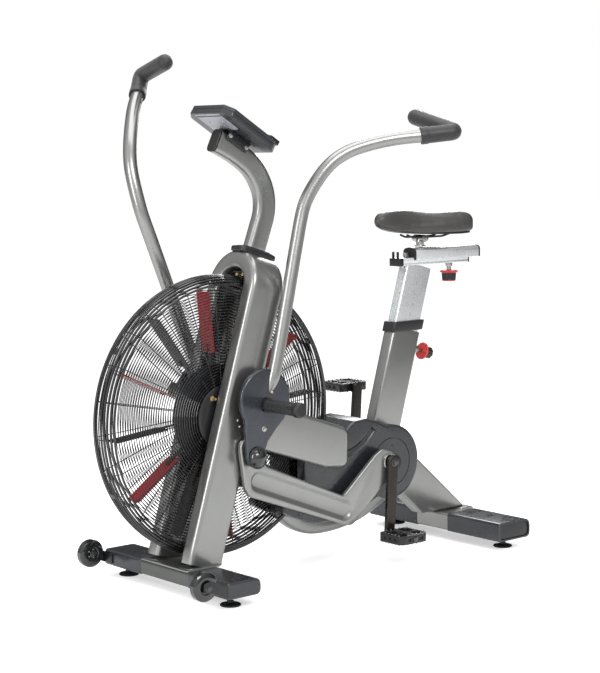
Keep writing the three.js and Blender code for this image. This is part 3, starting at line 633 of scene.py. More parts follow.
def build_fork():
    lean_side = Vector((1, 0, -FORK["lean"])).normalized()
    section = round_rect(FORK["width"], FORK["thickness"], 20, 8)
    body = sweep(fork_path(), section, lean_side)
    top_cut = slab_on_lean(round_rect(300, 260, 5), -11.4, 90)
    floor_cut = box(-900, 0, -200, 200, -50, FRONT_BAR["top"] + 0.4)
    piece("fork", body, "silver", "fork_frame", replaces="fork_frame", cuts=[top_cut, floor_cut], edge=1,
          segments=2)
    for label, side in SIDES:
        foot = Vector((leg_centre(88), side * FORK["y"], FRONT_BAR["top"] + 1))
        outline = round_rect(FORK["width"] + 8, FORK["thickness"] + 1, 20, 6)
        ring = [foot + Vector((u, v, 0)) for u, v in outline]
        bead = loft([[p + Vector((0, 0, -3)) for p in ring], [p + Vector((0, 0, 3.5)) for p in ring]])
        piece(f"fork_weld_{label}", bead, "silver", "fork_frame", edge=3)
    plan = rounded([(-592, -124, 8), (-462, -124, 8), (-462, 124, 8), (-592, 124, 8)])
    base = level_plate(plan, FRONT_BAR["top"] - 2, FRONT_BAR["top"] + 3)
    piece("fork_base_plate", base, "silver", "front_stabilizer", edge=1.5, slot="silver_paint")
    spots = [(leg_centre(521) - 4, 525), (leg_centre(535) + 10, 538), (leg_centre(505) + 8, 505)]
    bolts = joined(*[button_bolt((x, -LEG_OUTER, z), LEFT, 4.5, 3) for x, z in spots])
    piece("leg_bolts_left", bolts, "steel", "fork_frame")
    piece("leg_bolts_right", bolts.mirrored(), "steel", "fork_frame")


def build_arch_bracket():
    """The plate under the arch, with the bolts that hold the mast."""
    outline = rounded([(-46, -28, 10), (46, -28, 10), (46, 28, 10), (-46, 28, 10)])
    piece("arch_plate", slab_on_lean(outline, -77, -71), "black_paint", "fork_frame", edge=2)
    down = ON_LEAN.to_3x3() @ Vector(DOWN)
    bolts = [hex_bolt(ON_LEAN @ Vector((x, y, -77)), down, 14, 8) for x in (-30, 30) for y in (-14, 14)]
    piece("arch_bolts", joined(*bolts), "brass", "fork_frame")
    gusset = rounded([(-14, -90, 4), (14, -90, 4), (18, -77, 3), (-18, -77, 3)])
    web = loft([[(x, y, z) for x, z in gusset] for y in (-4, 4)]).moved(ON_LEAN)
    piece("arch_gusset", web, "black_paint", "fork_frame", edge=1.5)


MAST_PATH = [(-236, 0, 1000), (-198, 0, 1098), (-178, 0, 1160), (-183, 0, 1224), (-224, 0, 1294),
             (-294, 0, 1345), (-366, 0, 1380)]


def build_mast():
    path = smooth_path(MAST_PATH, 10)
    section = round_rect(42, 74, 18, 8)
    foot_cut = slab_on_lean(round_rect(300, 180, 5), -90, 11.35)
    piece("mast_tube", sweep(path, section), "silver", "mast", replaces="mast", cuts=[foot_cut], edge=1,
          segments=2)
    levels = [(-11, 2), (-9, 0), (2, 0), (5, 3), (9, 15), (11, 19)]
    collar = loft([[(x, y, z) for x, y in round_rect(144 - 2 * inset, 68 - inset, 18 - inset / 4, 8)]
                   for z, inset in levels]).moved(ON_LEAN)
    piece("mast_collar_pad", collar, "black_paint", "mast_collar", replaces="mast_collar")
    end, before = path[-1], path[-2]
    ahead = (end - before).normalized()
    cap = sweep([end + ahead * 0.4, end + ahead * 8.5], round_rect(44, 76, 19, 8))
    piece("mast_cap", cap, "black_plastic", "mast_end_cap", replaces="mast_end_cap", edge=3, segments=4)


BEAM = [(-352, 632, 20), (-258, 566, 60), (72, 452, 34), (72, 322, 30), (-20, 332, 30), (-380, 452, 20)]
BEAM_INNER = -68


def build_beams():
    beam = soft_plate(rounded(BEAM, 8), 0.4 - LEG_OUTER, BEAM_INNER, 12)
    pair("beam", beam, "silver", "side_beam", angle=40)


def post_x(z):
    return POST_BASE.x + SEAT_LEAN * (z - POST_BASE.z)


def post_stretch(z0, z1, length, width, radius, x_shift=0.0):
    path = [Vector((post_x(z) + x_shift, 0, z)) for z in (z0, z1)]
    return sweep(path, round_rect(width, length, radius, 6))


def level_stretch(z0, z1, length, width, radius):
    """A band round the post whose ends are level with the floor."""
    outline = round_rect(length, width, radius, 6)
    return loft([[(post_x(z) + u, v, z) for u, v in outline] for z in (z0, z1)])


def build_rear_frame():
    seat_tube = post_stretch(POST_BASE.z, POST_TOP, SEAT_TUBE["length"], SEAT_TUBE["width"], 12)
    piece("seat_tube_body", seat_tube, "silver", "seat_tube", replaces="seat_tube", edge=1, segments=2,
          late_cuts=[post_stretch(POST_BASE.z + 60, POST_TOP + 60, 116, 44, 8)])
    lip = level_stretch(POST_TOP - 6, POST_TOP + 28, 142, 61, 13)
    piece("seat_collar", lip, "black_paint", "seat_tube_collar", replaces="seat_tube_collar", edge=3,
          cuts=[post_stretch(POST_TOP - 30, POST_TOP + 60, 117, 44, 7)])
    leg = rounded([(322, 262, 0), (322, 334, 0), (394, 316, 0), (440, 318, 12), (696, 97.4, 0),
                   (486, 97.4, 0), (395, 178, 30)], 6)
    piece("rear_leg_body", plate(leg, -27, 27), "silver", "rear_leg", replaces="rear_leg", edge=8, segments=5)
    bends = [(310, 186), (200, 140), (80, 120), (-20, 126), (-90, 158), (-140, 206)]
    lower_tube = sweep(smooth_path([(x, 0, z) for x, z in bends]), round_rect(50, 50, 16, 6))
    piece("lower_tube_body", lower_tube, "silver", "lower_tube", replaces="lower_tube")
    cross = plate(rounded([(54, 428, 10), (100, 416, 10), (100, 340, 10), (54, 350, 10)]), -67, 67)
    tube_body = plate(rounded([(60, 432, 8), (335, 396, 8), (335, 352, 8), (60, 372, 8)]), -28, 28)
    piece("spine_body", joined(cross, tube_body), "silver", "main_spine", replaces="main_spine", edge=3)
    lug = rounded([(-34, -6, 4), (34, -6, 4), (30, 14, 10), (-30, 14, 10)])
    saddle_lug = plate(lug, -48, 48).shifted(686, 0, REAR_BAR["top"] - 14)
    piece("rear_bar_lug", saddle_lug, "silver", "rear_stabilizer", edge=5, segments=5)


# ---- cage, fan and belt drive ----
# Each pair of hoops: radius, distance from the middle plane, wire radius.
HOOPS = [(411, 48, 4.0), (419.5, 41.5, 4.0), (427, 34, 4.0), (433, 25, 4.0), (436.5, 15.5, 3.4),
         (438, 6, 2.0)]
PADDLE = {"count": 12, "first": 36, "root": 200, "tip": 392, "half_width": 31}
BELT = {"y": 38, "half_width": 5, "big": 92, "small": 24, "thickness": 3}


def about_fan(shape, degrees):
    return turned(shape, FAN, -degrees)


def build_cage():
    y = -GUARD_FACE_Y
    rings = [torus(FAN, radius, 1.5, 120, y=y) for radius in range(109, 406, 9)]
    spoke = bar(FAN + Vector((97, y + 3, 0)), FAN + Vector((412, y + 3, 0)), 1.5)
    spokes = [about_fan(spoke, 15 * i + 4) for i in range(24)]
    pair("cage_face", joined(*rings, *spokes), "wire", "guard_face")
    profile = [(12, y - 2), (84, y - 2.6), (96, y - 2.6), (100, y - 1), (100, y + 3), (12, y + 3)]
    hub = lathe(profile, FAN, sides=96)
    pair("cage_hub", hub, "black_paint", "guard_face", stands_in=False)
    stud = Vector((FAN.x - 46, y - 2, FAN.z + 61))
    pair("cage_stud", joined(hex_bolt(stud, LEFT, 13, 7), drum(stud, 4, -16, 0)), "brass", "guard_face",
         stands_in=False)
    rims = [torus(FAN, radius, wire, 144, 8, y=side * along)
            for radius, along, wire in HOOPS for side in (-1, 1)]
    bend = [(408, 46), (416, 38), (423, 29), (430, 19), (433, 6)]
    path = bend + [(radius, -along) for radius, along in reversed(bend)]
    tie = tube([FAN + Vector((radius, along, 0)) for radius, along in path], 1.5, 6, side=UP)
    ties = [about_fan(tie, 15 * i + 4) for i in range(24)]
    piece("cage_rim", joined(*rims, *ties), "wire", "guard_rim", replaces="guard_rim")
    clip = box(FAN.x + 429, FAN.x + 440, -12, 12, FAN.z - 9, FAN.z + 9)
    clips = [about_fan(clip, angle) for angle in (28, 88, 148, 208, 268, 328)]
    piece("cage_clips", joined(*clips), "black_plastic", "guard_rim", edge=2)


def paddle(angle):
    root, tip, w = PADDLE["root"], PADDLE["tip"], PADDLE["half_width"]
    outline = rounded([(root, -w, 7), (tip, -w, 7), (tip, w, 7), (root, w, 7)])
    blade = loft([[FAN + Vector((r, y, lift)) for r, y in outline] for lift in (-1.5, 1.5)])
    return about_fan(blade, angle)


def paddle_arm(angle):
    arm = box(FAN.x + 60, FAN.x + 230, -8, 8, FAN.z - 4.5, FAN.z - 1.7)
    rivets = [button_bolt(FAN + Vector((r, 0, 1.3)), UP, 5, 3) for r in (210, 222)]
    return about_fan(joined(arm, *rivets), angle)


def build_fan():
    profile = [(12, -26), (44, -26), (50, -9), (160, -3.5), (160, 3.5), (50, 9), (44, 26), (12, 26)]
    piece("fan_disc", lathe(profile, FAN, sides=96), "blade", "fan_wheel", replaces="fan_wheel")
    angles = [PADDLE["first"] + 360 / PADDLE["count"] * i for i in range(PADDLE["count"])]
    piece("red_paddles", joined(*map(paddle, angles[0::2])), "red_blade", "fan_wheel", slot="red_knob")
    piece("dark_paddles", joined(*map(paddle, angles[1::2])), "blade", "fan_wheel")
    piece("paddle_arms", joined(*map(paddle_arm, angles)), "blade", "fan_wheel")


def belt_ring(inner, outer, half_width, steps=40):
    line = FAN - CRANK
    between = math.atan2(line.z, line.x)
    tangent = math.acos((BELT["big"] - BELT["small"]) / line.length)
    turns = [(CRANK, BELT["big"], between + tangent, between + 2 * math.pi - tangent),
             (FAN, BELT["small"], between - tangent, between + tangent)]
    rings = []
    for centre, radius, start, end in turns:
        for i in range(steps + 1):
            angle = start + (end - start) * i / steps
            out = Vector((math.cos(angle), 0, math.sin(angle)))
            rings.append([centre + out * (radius + grow) + Vector((0, BELT["y"] + side, 0))
                          for grow, side in ((inner, -half_width), (outer, -half_width),
                                             (outer, half_width), (inner, half_width))])
    return loft(rings, closed=True)


def build_drive():
    y = BELT["y"]
    belt = belt_ring(0.7, BELT["thickness"], BELT["half_width"])
    piece("belt", belt, "belt", "drive_belt", replaces="drive_belt")
    big = [(17, y - 6), (30, y - 6), (30, y - 3), (84, y - 3), (84, y - 6), (91.6, y - 6), (91.6, y + 6),
           (84, y + 6), (84, y + 3), (30, y + 3), (30, y + 6), (17, y + 6)]
    holes = [drum(CRANK + Vector((57 * math.cos(a), 0, 57 * math.sin(a))), 15, y - 9, y + 9)
             for a in (math.pi / 3 * i for i in range(6))]
    piece("big_pulley", lathe(big, CRANK, sides=96), "steel", "drive_pulley", replaces="drive_pulley",
          cuts=holes)
    small = [(11, y - 7), (26, y - 7), (26, y - 5.6), (23.6, y - 5.6), (23.6, y + 5.6), (26, y + 5.6),
             (26, y + 7), (11, y + 7)]
    piece("small_pulley", lathe(small, FAN, sides=64), "steel", "fan_pulley", replaces="fan_pulley")
    piece("fan_shaft", drum(FAN, 9.6, -57, 57, edge=2), "steel", "fan_axle", replaces="fan_axle")
    shaft = drum(CRANK, 15.6, -95.5, 95.5, edge=2)
    piece("crank_shaft", shaft, "steel", "crank_spindle", replaces="crank_spindle")
    shell = lathe([(17, -30), (28, -30), (30, -28), (30, 28), (28, 30), (17, 30)], CRANK)
    piece("bearing_shell", shell, "steel", "bottom_bracket", replaces="bottom_bracket")


# ---- housing ----
HOUSING_Y = -93


def housing_outline(inset=0.0):
    arc = [(*on_circle(CRANK.x, CRANK.z, 125 - inset, angle), 0) for angle in range(98, -119, -6)]
    return rounded([(96 + inset, 452 - inset, 16), (120, 466 - inset, 20), (168, 470 - inset, 40),
                    (215, 458 - inset, 30), (248, 442 - inset, 12), *arc, (150, 168 + inset, 40),
                    (60, 150 + inset, 60), (-40, 150 + inset, 60), (-126, 176 + inset, 50),
                    (-192 + inset, 208, 14), (-178 + inset, 234 - inset / 2, 14), (-96 + inset, 296, 20),
                    (-96 + inset, 400, 14), (70 + inset, 430, 20)], 4)


def surface_hole(x, z, radius, depth=5):
    return drum(Vector((x, HOUSING_Y, z)), radius, -3, depth, edge=0.6, sides=24)


def build_housing():
    shell = soft_plate(housing_outline(), HOUSING_Y, 14, 9)
    hollow = plate(housing_outline(10), HOUSING_Y + 13, 30)
    far_side = box(-400, 600, -0.4, 60, 0, 700)
    beam_room = plate(rounded([(x, z, r) for x, z, r in BEAM], 8), -140, BEAM_INNER + 0.5)
    cage_profile = [(0, -54), (418, -54), (432, -42), (443, -26), (445, 0), (445, 20), (0, 20)]
    cage_room = lathe(cage_profile, FAN, sides=96)
    bore = drum(CRANK, 17.5, -120, 0)
    leg_room = [(320, 360), (460, 330), (720, 60), (460, 60), (385, 178), (270, 290)]
    tubes = [post_stretch(POST_BASE.z - 20, POST_TOP, SEAT_TUBE["length"] + 2, SEAT_TUBE["width"] + 2, 12),
             box(40, 130, -70, 70, 330, 441), plate(leg_room, -29, 29), box(-260, 330, -27, 27, 80, 236)]
    swoosh = [(204, 432), (170, 400), (140, 383), (104, 367), (66, 362)]
    scoop = tube(smooth_path([(x, HOUSING_Y - 6, z) for x, z in swoosh]), 14, 24)
    seam = lathe([(79.6, HOUSING_Y - 4), (82.8, HOUSING_Y - 4), (82.4, HOUSING_Y + 4), (80, HOUSING_Y + 4)],
                 CRANK, sides=96)
    spots = [(284, 364, 5.5), (321, 306, 5.5), (214, 439, 6), (137, 320, 4.5), (-126, 185, 6)]
    holes = [surface_hole(*spot) for spot in spots]
    # Gloss-black discs sunk just under the hole mouths: painted shade that makes the holes read dark.
    hole_shade_discs = [surface_hole(x, z, radius - 0.2, 4).shifted(0, 3.6, 0) for x, z, radius in spots]
    pair("shell_hole_shade_discs", joined(*hole_shade_discs), "gloss_black", "housing", stands_in=False, slot="black_plastic")
    rooms = [hollow, far_side, beam_room, cage_room, bore, *tubes]
    pair("shell", shell, "shell", "housing", late_cuts=[*rooms, scoop, seam, *holes], angle=32)


# ---- cranks and pedals ----
PIN_END = Vector((215, 0, 90))
CRANK_INNER, CRANK_OUTER = -145, -160


def link_outline(x0, z0, r0, x1, z1, r1, steps=16):
    along = math.atan2(z1 - z0, x1 - x0)
    slope = math.acos((r0 - r1) / math.hypot(x1 - x0, z1 - z0))
    corners = []
    for x, z, radius, start, end in ((x0, z0, r0, along + slope, along + 2 * math.pi - slope),
                                     (x1, z1, r1, along - slope, along + slope)):
        for i in range(steps + 1):
            angle = start + (end - start) * i / steps
            corners.append((x + radius * math.cos(angle), z + radius * math.sin(angle)))
    return corners


def build_cranks():
    web = soft_plate(link_outline(CRANK.x, CRANK.z, 26, PIN.x, PIN.z, 20), -114, -96.4, 3)
    arm = soft_plate(link_outline(PIN.x, PIN.z, 22, PIN_END.x, PIN_END.z, 18.5), CRANK_OUTER, CRANK_INNER, 4)
    pair("crank_web", web, "crank", "crank", crank_phase)
    pair("crank_arm", arm, "crank", "crank", crank_phase, stands_in=False)
    pin = drum(PIN, 12.6, -146, -113, edge=1)
    axle = drum(PIN_END, 7, -262, CRANK_OUTER + 2, edge=1, sides=24)
    pair("crank_pins", joined(pin, axle), "steel", "crank", crank_phase, stands_in=False)
    top = Vector((PIN.x, CRANK_OUTER, PIN.z))
    low = Vector((PIN_END.x, CRANK_OUTER, PIN_END.z))
    bolts = joined(hex_bolt(top, LEFT, 20, 9), hex_bolt(low, LEFT, 18, 7))
    pair("crank_bolts", bolts, "dark_steel", "crank", crank_phase, stands_in=False)


def build_pedals():
    """Resin platforms with windows, slots in their sides and rows of studs."""
    x, z = PIN_END.x, PIN_END.z
    inner, outer, half = -165, -276, 61
    plan = rounded([(-half, outer + 13, 12), (-half + 14, outer, 10), (half - 14, outer, 10),
                    (half, outer + 13, 12), (half, inner - 9, 8), (half - 9, inner, 8), (-half + 9, inner, 8),
                    (-half, inner - 9, 8)])
    body = level_plate([(x + u, v) for u, v in plan], z - 14, z + 14)
    windows = []
    for start, end in ((-51, -15), (15, 51)):
        for near, far in ((outer + 10, outer + 51), (outer + 58, inner - 10)):
            window = rounded([(start, near, 6), (end, near, 6), (end, far, 6), (start, far, 6)])
            windows.append(level_plate([(x + u, v) for u, v in window], z - 20, z + 20))
    side_slots = [box(rim - 4, rim + 4, y, y + 14, z - 5, z + 5)
                  for y in (outer + 22, outer + 45, outer + 68) for rim in (x - half, x + half)]
    side_slots += [box(x + u - 8, x + u + 8, outer - 4, outer + 5, z - 5, z + 5) for u in (-26, 0, 26)]
    bore = drum(PIN_END, 7.6, outer + 6, inner + 5)
    pair("pedal_body", body, "black_plastic", "pedal", crank_phase, cuts=[*windows, *side_slots, bore],
         edge=1.5, segments=2)
    spots = [(u, y) for u in (-56, 56) for y in range(outer + 18, inner - 8, 16)]
    spots += [(u, y) for y in (outer + 5, inner - 6) for u in (-28, -10, 10, 28)]
    studs = [drum(Vector((x + u, y, z + side * 13)), 2, 0, 5, (0, 0, side), 0.6, 10)
             for u, y in spots for side in (-1, 1)]
    pair("pedal_studs", joined(*studs), "steel", "pedal", crank_phase, stands_in=False)
    cap = drum(PIN_END, 10, outer - 3, outer + 3, edge=1.5, sides=32)
    pair("pedal_cap", cap, "gloss_black", "pedal", crank_phase, stands_in=False)


# ---- levers, handles, grips, pegs and rods ----
HANDLE_PATH = [(-284, -157, 628), (-265, -157, 684), (-204, -147, 907), (-142, -136, 1132),
               (-128, -137, 1180), (-102, -145, 1229), (-61, -163, 1292), (-24, -180, 1325), (19, -203, 1351),
               (91, -250, 1374), (144, -288, 1385), (198, -322, 1390)]
HANDLE_FOOT = [Vector((-291, -157, 606)), Vector((-291, -157, 612)), Vector((-288, -157, 620))]
TAPER_LENGTH = 54
FOOT_SCALE = 0.3
TUBE_RADIUS = 21
GRIP_RADIUS = 26
GRIP_CORNER = Vector((290, -388, 1402))
GRIP_END = Vector((285, -210, 1451))


def lever_outline():
    arc = [(*on_circle(-310, 585, 98, angle), 0) for angle in range(214, -43, -8)]
    return rounded([*arc, (-268, 492, 24), (-302, 456, 30), (-314, 426, 20), (-318, 398, 14), (-332, 381, 14),
                    (-352, 377, 14), (-374, 387, 14), (-384, 412, 16), (-387, 450, 20), (-389, 492, 40)], 5)


def handle_spine():
    """The tube's path, with a tapering foot below its first corner."""
    path = relaxed(smooth_path(HANDLE_PATH, 8), 30)
    return [*HANDLE_FOOT, *path]


def handle_taper(height):
    t = max(0, min(1, (height - HANDLE_FOOT[0].z) / TAPER_LENGTH))
    return FOOT_SCALE + (1 - FOOT_SCALE) * t * (2 - t)


def handle_shape(radius, points):
    scales = [handle_taper(point.z) for point in points]
    return sweep(points, circle(radius, 32), scale=lambda t: scales[round(t * (len(points) - 1))])


def build_levers():
    inner, outer = -LEVER_INNER, -LEVER_OUTER
    notch = handle_shape(TUBE_RADIUS + 2, handle_spine()[:16])
    bore = drum(PIVOT, 18.6, -220, -100)
    pair("lever_plate", soft_plate(lever_outline(), inner, outer, 7), "lever", "lever", handle_phase,
         late_cuts=[notch, bore])
    dome = [(0, 9), (28, 9), (31, 5)]
    dome += [(31 * math.cos(turn), 1 - 26 * math.sin(turn)) for turn in map(math.radians, range(0, 90, 10))]
    centre = BALL + Vector((0, outer, 0))
    ball = lathe([*dome, (0, -25)], centre, sides=56)
    pair("ball_cap", ball, "gloss_black", "lever", handle_phase, stands_in=False, slot="black_plastic")
    collar = lathe([(20, -1), (33, -1), (34.5, -2.5), (34.5, -6), (33, -7.5), (20, -7.5)], centre, sides=56)
    pair("ball_collar", collar, "black_plastic", "lever", handle_phase, stands_in=False)
    stud = drum(BALL, 14, -LEVER_INNER - 3, -LEVER_INNER + 4, edge=1)
    bolts = joined(hex_bolt(Vector((-320, outer - 0.2, 498)), LEFT, 13, 6),
                   button_bolt(Vector((-288, outer - 0.2, 608)), LEFT, 6, 4), stud)
    pair("lever_bolts", bolts, "steel", "lever", handle_phase, stands_in=False)


def build_handles():
    path = handle_spine()
    pair("handle_tube", handle_shape(TUBE_RADIUS, path), "silver", "handle", handle_phase)
    start, ahead = path[-1], (GRIP_CORNER - path[-1]).normalized()
    back = (GRIP_END - GRIP_CORNER).normalized()
    bend_in, bend_out = GRIP_CORNER - ahead * 20, GRIP_CORNER + back * 20
    curve = [bend_in * (1 - t) ** 2 + GRIP_CORNER * 2 * t * (1 - t) + bend_out * t ** 2 for t in
             (i / 10 for i in range(11))]
    line = [start + ahead * 0.6, start + ahead * 10, *curve, GRIP_CORNER + back * 100, GRIP_END]
    turns = [math.radians(degrees) for degrees in (20, 40, 60, 75, 86)]
    rounding = [GRIP_END + back * GRIP_RADIUS * math.sin(turn) for turn in turns]
    shrink = [1] * len(line) + [math.cos(turn) for turn in turns]
    spine = line + rounding
    grip = sweep(spine, circle(GRIP_RADIUS, 32), UP, lambda t: shrink[round(t * (len(spine) - 1))])
    pair("grip_sleeve", grip, "grip", "grip", handle_phase)
    cuff = sweep([start + ahead * step for step in (0.6, 2, 22, 25)], circle(GRIP_RADIUS + 1.5, 32), UP,
                 lambda t: (0.96, 1, 1, 0.95)[round(t * 3)])
    pair("grip_cuff", cuff, "grip", "grip", handle_phase, stands_in=False)


def build_pegs():
    start, outer = -LEVER_OUTER - 3, -330
    flutes = []
    for i in range(120):
        angle = 2 * math.pi * i / 120
        radius = 20.6 if i % 4 < 2 else 19.4
        flutes.append((radius * math.cos(angle), radius * math.sin(angle)))
    body = sweep([Vector((PIVOT.x, y, PIVOT.z)) for y in (start - 4, outer + 26)], flutes, side=(1, 0, 0))
    pair("peg_sleeve", body, "peg", "foot_peg", angle=20)
    ring = lathe([(10, start), (22, start), (23.4, start - 1.5), (23.4, start - 5), (10, start - 5)], PIVOT)
    ends = [(0, outer), (18, outer), (22, outer + 4), (23.8, outer + 7), (23.8, outer + 24), (21, outer + 27),
            (0, outer + 27)]
    pair("peg_cap", lathe(ends, PIVOT), "black_plastic", "foot_peg", stands_in=False)
    pair("peg_ring", ring, "black_plastic", "foot_peg", stands_in=False)
    axle = joined(drum(PIVOT, 17.6, start, -LEG_OUTER - 2, edge=1),
                  drum(PIVOT, 29, -LEG_OUTER - 4, -LEG_OUTER - 0.5))
    pair("peg_axle", axle, "steel", "foot_peg", stands_in=False)


ROD = [(-398, 470, 46), (-306, 470, 46), (-300, 378, 34), (30, 238, 16), (168, 352, 30), (204, 372, 30),
       (266, 352, 32), (262, 296, 32), (62, 132, 36), (-372, 290, 50)]
CHANNEL = [(-322, 330), (34, 190)]
ROD_TURN = 3.2


def rod_phase(shape):
    across = shape.mirrored().moved(Matrix.Translation((CRANK - PIN) * 2))
    return turned(across, CRANK * 2 - PIN, ROD_TURN)


def channel_cut(wide, narrow, depth):
    """A long round-ended recess, its sides sloping softly in to its floor."""
    (x0, z0), (x1, z1) = CHANNEL
    rings = []
    for i in range(9):
        t = i / 8
        ease = t * t * (3 - 2 * t)
        radius = wide + (narrow - wide) * t
        rings.append([(x, depth * ease - ROD_OUTER, z) for x, z in
                      link_outline(x0, z0, radius + 0.01, x1, z1, radius, 14)])
    lid = [(x, -ROD_OUTER - 4, z) for x, z in link_outline(x0, z0, wide + 0.01, x1, z1, wide, 14)]
    return loft([lid, *rings])


def build_rods():
    body = soft_plate(rounded(ROD, 8), -ROD_OUTER, -ROD_INNER, 5)
    bore = drum(PIN, 13.4, -200, -100)
    pair("rod_body", body, "silver", "rod", rod_phase, late_cuts=[channel_cut(36, 18, 9), bore], angle=32)
    ring = lathe([(14, 0), (27, 0), (29, -1), (29, -3), (27, -4.2), (24, -4.2), (22, -2), (14, -2)],
                 PIN + Vector((0, -ROD_OUTER - 0.1, 0)), sides=56)
    pair("rod_ring", ring, "steel", "rod", rod_phase, stands_in=False)


# ---- seat post, rail, slider and knobs ----
def build_post():
    top = RAIL_TOP - 26.6
    post = post_stretch(POST["start"], top, POST["length"], POST["width"], 7)
    grooves = [sweep([Vector((post_x(z) - POST["length"] / 2, y, z)) for z in (440, 1010)],
                     round_rect(5, 7, 1.5, 3)) for y in (-8, 8)]
    level = box(0, 900, -60, 60, top, 1200)
    piece("post_body", post, "aluminium", "seat_post", replaces="seat_post", edge=0.8, segments=2,
          cuts=[level], late_cuts=grooves)
    places = [(post_x(z) + 2, z) for z in range(790, 940, 36)]
    marks = joined(*[box(x - 1.6, x + 1.6, -20.8, -19, z - 8, z + 8) for x, z in places])
    piece("post_marks_left", marks, "label", "seat_post", edge=0.5, segments=2)
    piece("post_marks_right", marks.mirrored(), "label", "seat_post", edge=0.5, segments=2)


RAIL = {"front": 394, "rear": 722, "half_width": 24}
SLIDER = {"front": 455, "rear": 770, "top": 1018, "half_width": 29}
SLIDER_PIN_X = 645


def along_x(section, x0, x1):
    return loft([[(x, y, z) for y, z in section] for x in (x0, x1)])


def slider_section(grow=0.0):
    w, top = SLIDER["half_width"] + grow, SLIDER["top"] + grow
    low, inner = RAIL_TOP + 0.5, RAIL["half_width"] + 0.6
    return rounded([(-w, low - 9, 2), (-inner, low - 9, 0), (-inner, low, 0), (inner, low, 0),
                    (inner, low - 9, 0), (w, low - 9, 2), (w, top - 8, 15), (0, top, 60),
                    (-w, top - 8, 15)], 7)


def build_rail():
    front, rear, w = RAIL["front"], RAIL["rear"], RAIL["half_width"]
    top, bottom = RAIL_TOP, RAIL_TOP - 26
    section = rounded([(-w, bottom, 3), (w, bottom, 3), (w, top, 2), (6, top, 0), (6, top - 8, 0),
                       (-6, top - 8, 0), (-6, top, 0), (-w, top, 2)])
    low, high = bottom + 6, bottom + 10
    grooves = [along_x([(y - 2, low), (y + 2, low), (y + 2, high), (y - 2, high)], 300, 800) for y in (-w, w)]
    piece("rail_bar", along_x(section, front + 12, rear - 6), "aluminium", "seat_rail",
          replaces="seat_rail", cuts=grooves, edge=0.6, segments=2)
    posts = [box(front - 7, front + 2, side * 8, side * 14, top - 1.5, top + 22) for side in (-1, 1)]
    front_cap = joined(box(front - 8, front + 13, -w - 1, w + 1, bottom - 1, top - 0.5), *posts)
    piece("rail_front_cap", front_cap, "black_plastic", "seat_rail", edge=2)
    rear_cap = box(rear - 6, rear, -w, w, bottom - 1, top - 0.5)
    piece("rail_rear_cap", rear_cap, "black_plastic", "seat_rail", edge=2)


def build_slider():
    front, rear = SLIDER["front"], SLIDER["rear"]
    piece("slider_body", along_x(slider_section(), front + 7, rear - 7), "aluminium", "seat_slider",
          replaces="seat_slider", edge=0.6, segments=2)
    for name, x0, x1 in (("front", front, front + 7), ("rear", rear - 7, rear)):
        cap = along_x(slider_section(0.8), x0, x1)
        piece(f"slider_{name}_cap", cap, "black_plastic", "seat_slider", edge=1.5)
    ribs = [box(front - 2, front + 1, y - 1.5, y + 1.5, RAIL_TOP + 4, SLIDER["top"] - 6)
            for y in range(-16, 17, 8)]
    piece("slider_cap_ribs", joined(*ribs), "black_plastic", "seat_slider", edge=0.6)
    stop = box(front - 24, front - 1, -7, 7, RAIL_TOP + 2, RAIL_TOP + 16)
    piece("slider_stop", stop, "steel", "seat_slider", edge=2)


CLAMP_X, CLAMP_Z = 506, 1046


def build_clamp():
    """Pillar, flange and cross barrel below the saddle's rails."""
    pillar = upright(CLAMP_X, 0, 13.6, SLIDER["top"] + 0.4, CLAMP_Z + 2, 1.5)
    flange = upright(CLAMP_X, 0, 19, SLIDER["top"] + 0.4, SLIDER["top"] + 5, 1.2)
    barrel = drum(Vector((CLAMP_X, 0, CLAMP_Z)), 12.6, -26, 26, edge=2)
    piece("clamp_body", joined(pillar, flange, barrel), "steel", "saddle_clamp", replaces="saddle_clamp")
    ends = [hex_bolt(Vector((CLAMP_X, side * 26, CLAMP_Z)), (0, side, 0), 15, 9) for side in (-1, 1)]
    piece("clamp_nuts", joined(*ends), "steel", "saddle_clamp")


def build_knobs():
    lean = Vector((1, 0, -SEAT_LEAN)).normalized()
    root = Vector((post_x(690), 0, 690))
    bush = drum(root, 13, 59, 84, lean, 1.5)
    piece("post_pin_bush", bush, "silver", "seat_tube")
    rod = drum(root, 7, 62, 112, lean, 0.5)
    piece("post_pin_rod", rod, "steel", "post_pin_knob")
    disc = lathe([(5, 108), (27, 108), (29.5, 110), (29.5, 113), (27, 115.5), (5, 115.5)], root, lean, 56)
    piece("post_knob_disc", disc, "red", "post_pin_knob", replaces="post_pin_knob")
    piece("post_knob_grip", fluted(root, lean, 115, 146, 19, 20), "black_plastic", "post_pin_knob")
    piece("post_knob_end", drum(root, 16, 145, 149.5, lean, 1.5), "red", "post_pin_knob")
    under = Vector((SLIDER_PIN_X, 0, 0))
    rod = joined(drum(under, 8, 926, RAIL_TOP - 26.6, UP, 0.5), drum(under, 12, 944, 956, UP, 1.5))
    piece("slider_pin_rod", rod, "steel", "slider_pin_knob")
    disc = lathe([(5, 922), (28, 922), (31, 924), (31, 927.5), (28, 930), (5, 930)], under, UP, 56)
    piece("slider_knob_disc", disc, "red", "slider_pin_knob", replaces="slider_pin_knob")
    piece("slider_knob_grip", fluted(under, DOWN, -922, -897, 26, 24), "black_plastic", "slider_pin_knob")
    piece("slider_knob_end", drum(under, 23, 893, 897.5, UP, 1.5), "red", "slider_pin_knob")


def fluted(centre, axis, start, end, radius, end_radius):
    """A hand grip with eight hollows round it."""
    ahead = Vector(axis).normalized()
    path = [Vector(centre) + ahead * (start + (end - start) * i / 6) for i in range(7)]
    section = []
    for i in range(96):
        angle = 2 * math.pi * i / 96
        dip = 1 - 0.10 * max(math.cos(8 * angle), 0) ** 2
        section.append((radius * dip * math.cos(angle), radius * dip * math.sin(angle)))
    return sweep(path, section, scale=lambda t: 1 + (end_radius / radius - 1) * t)


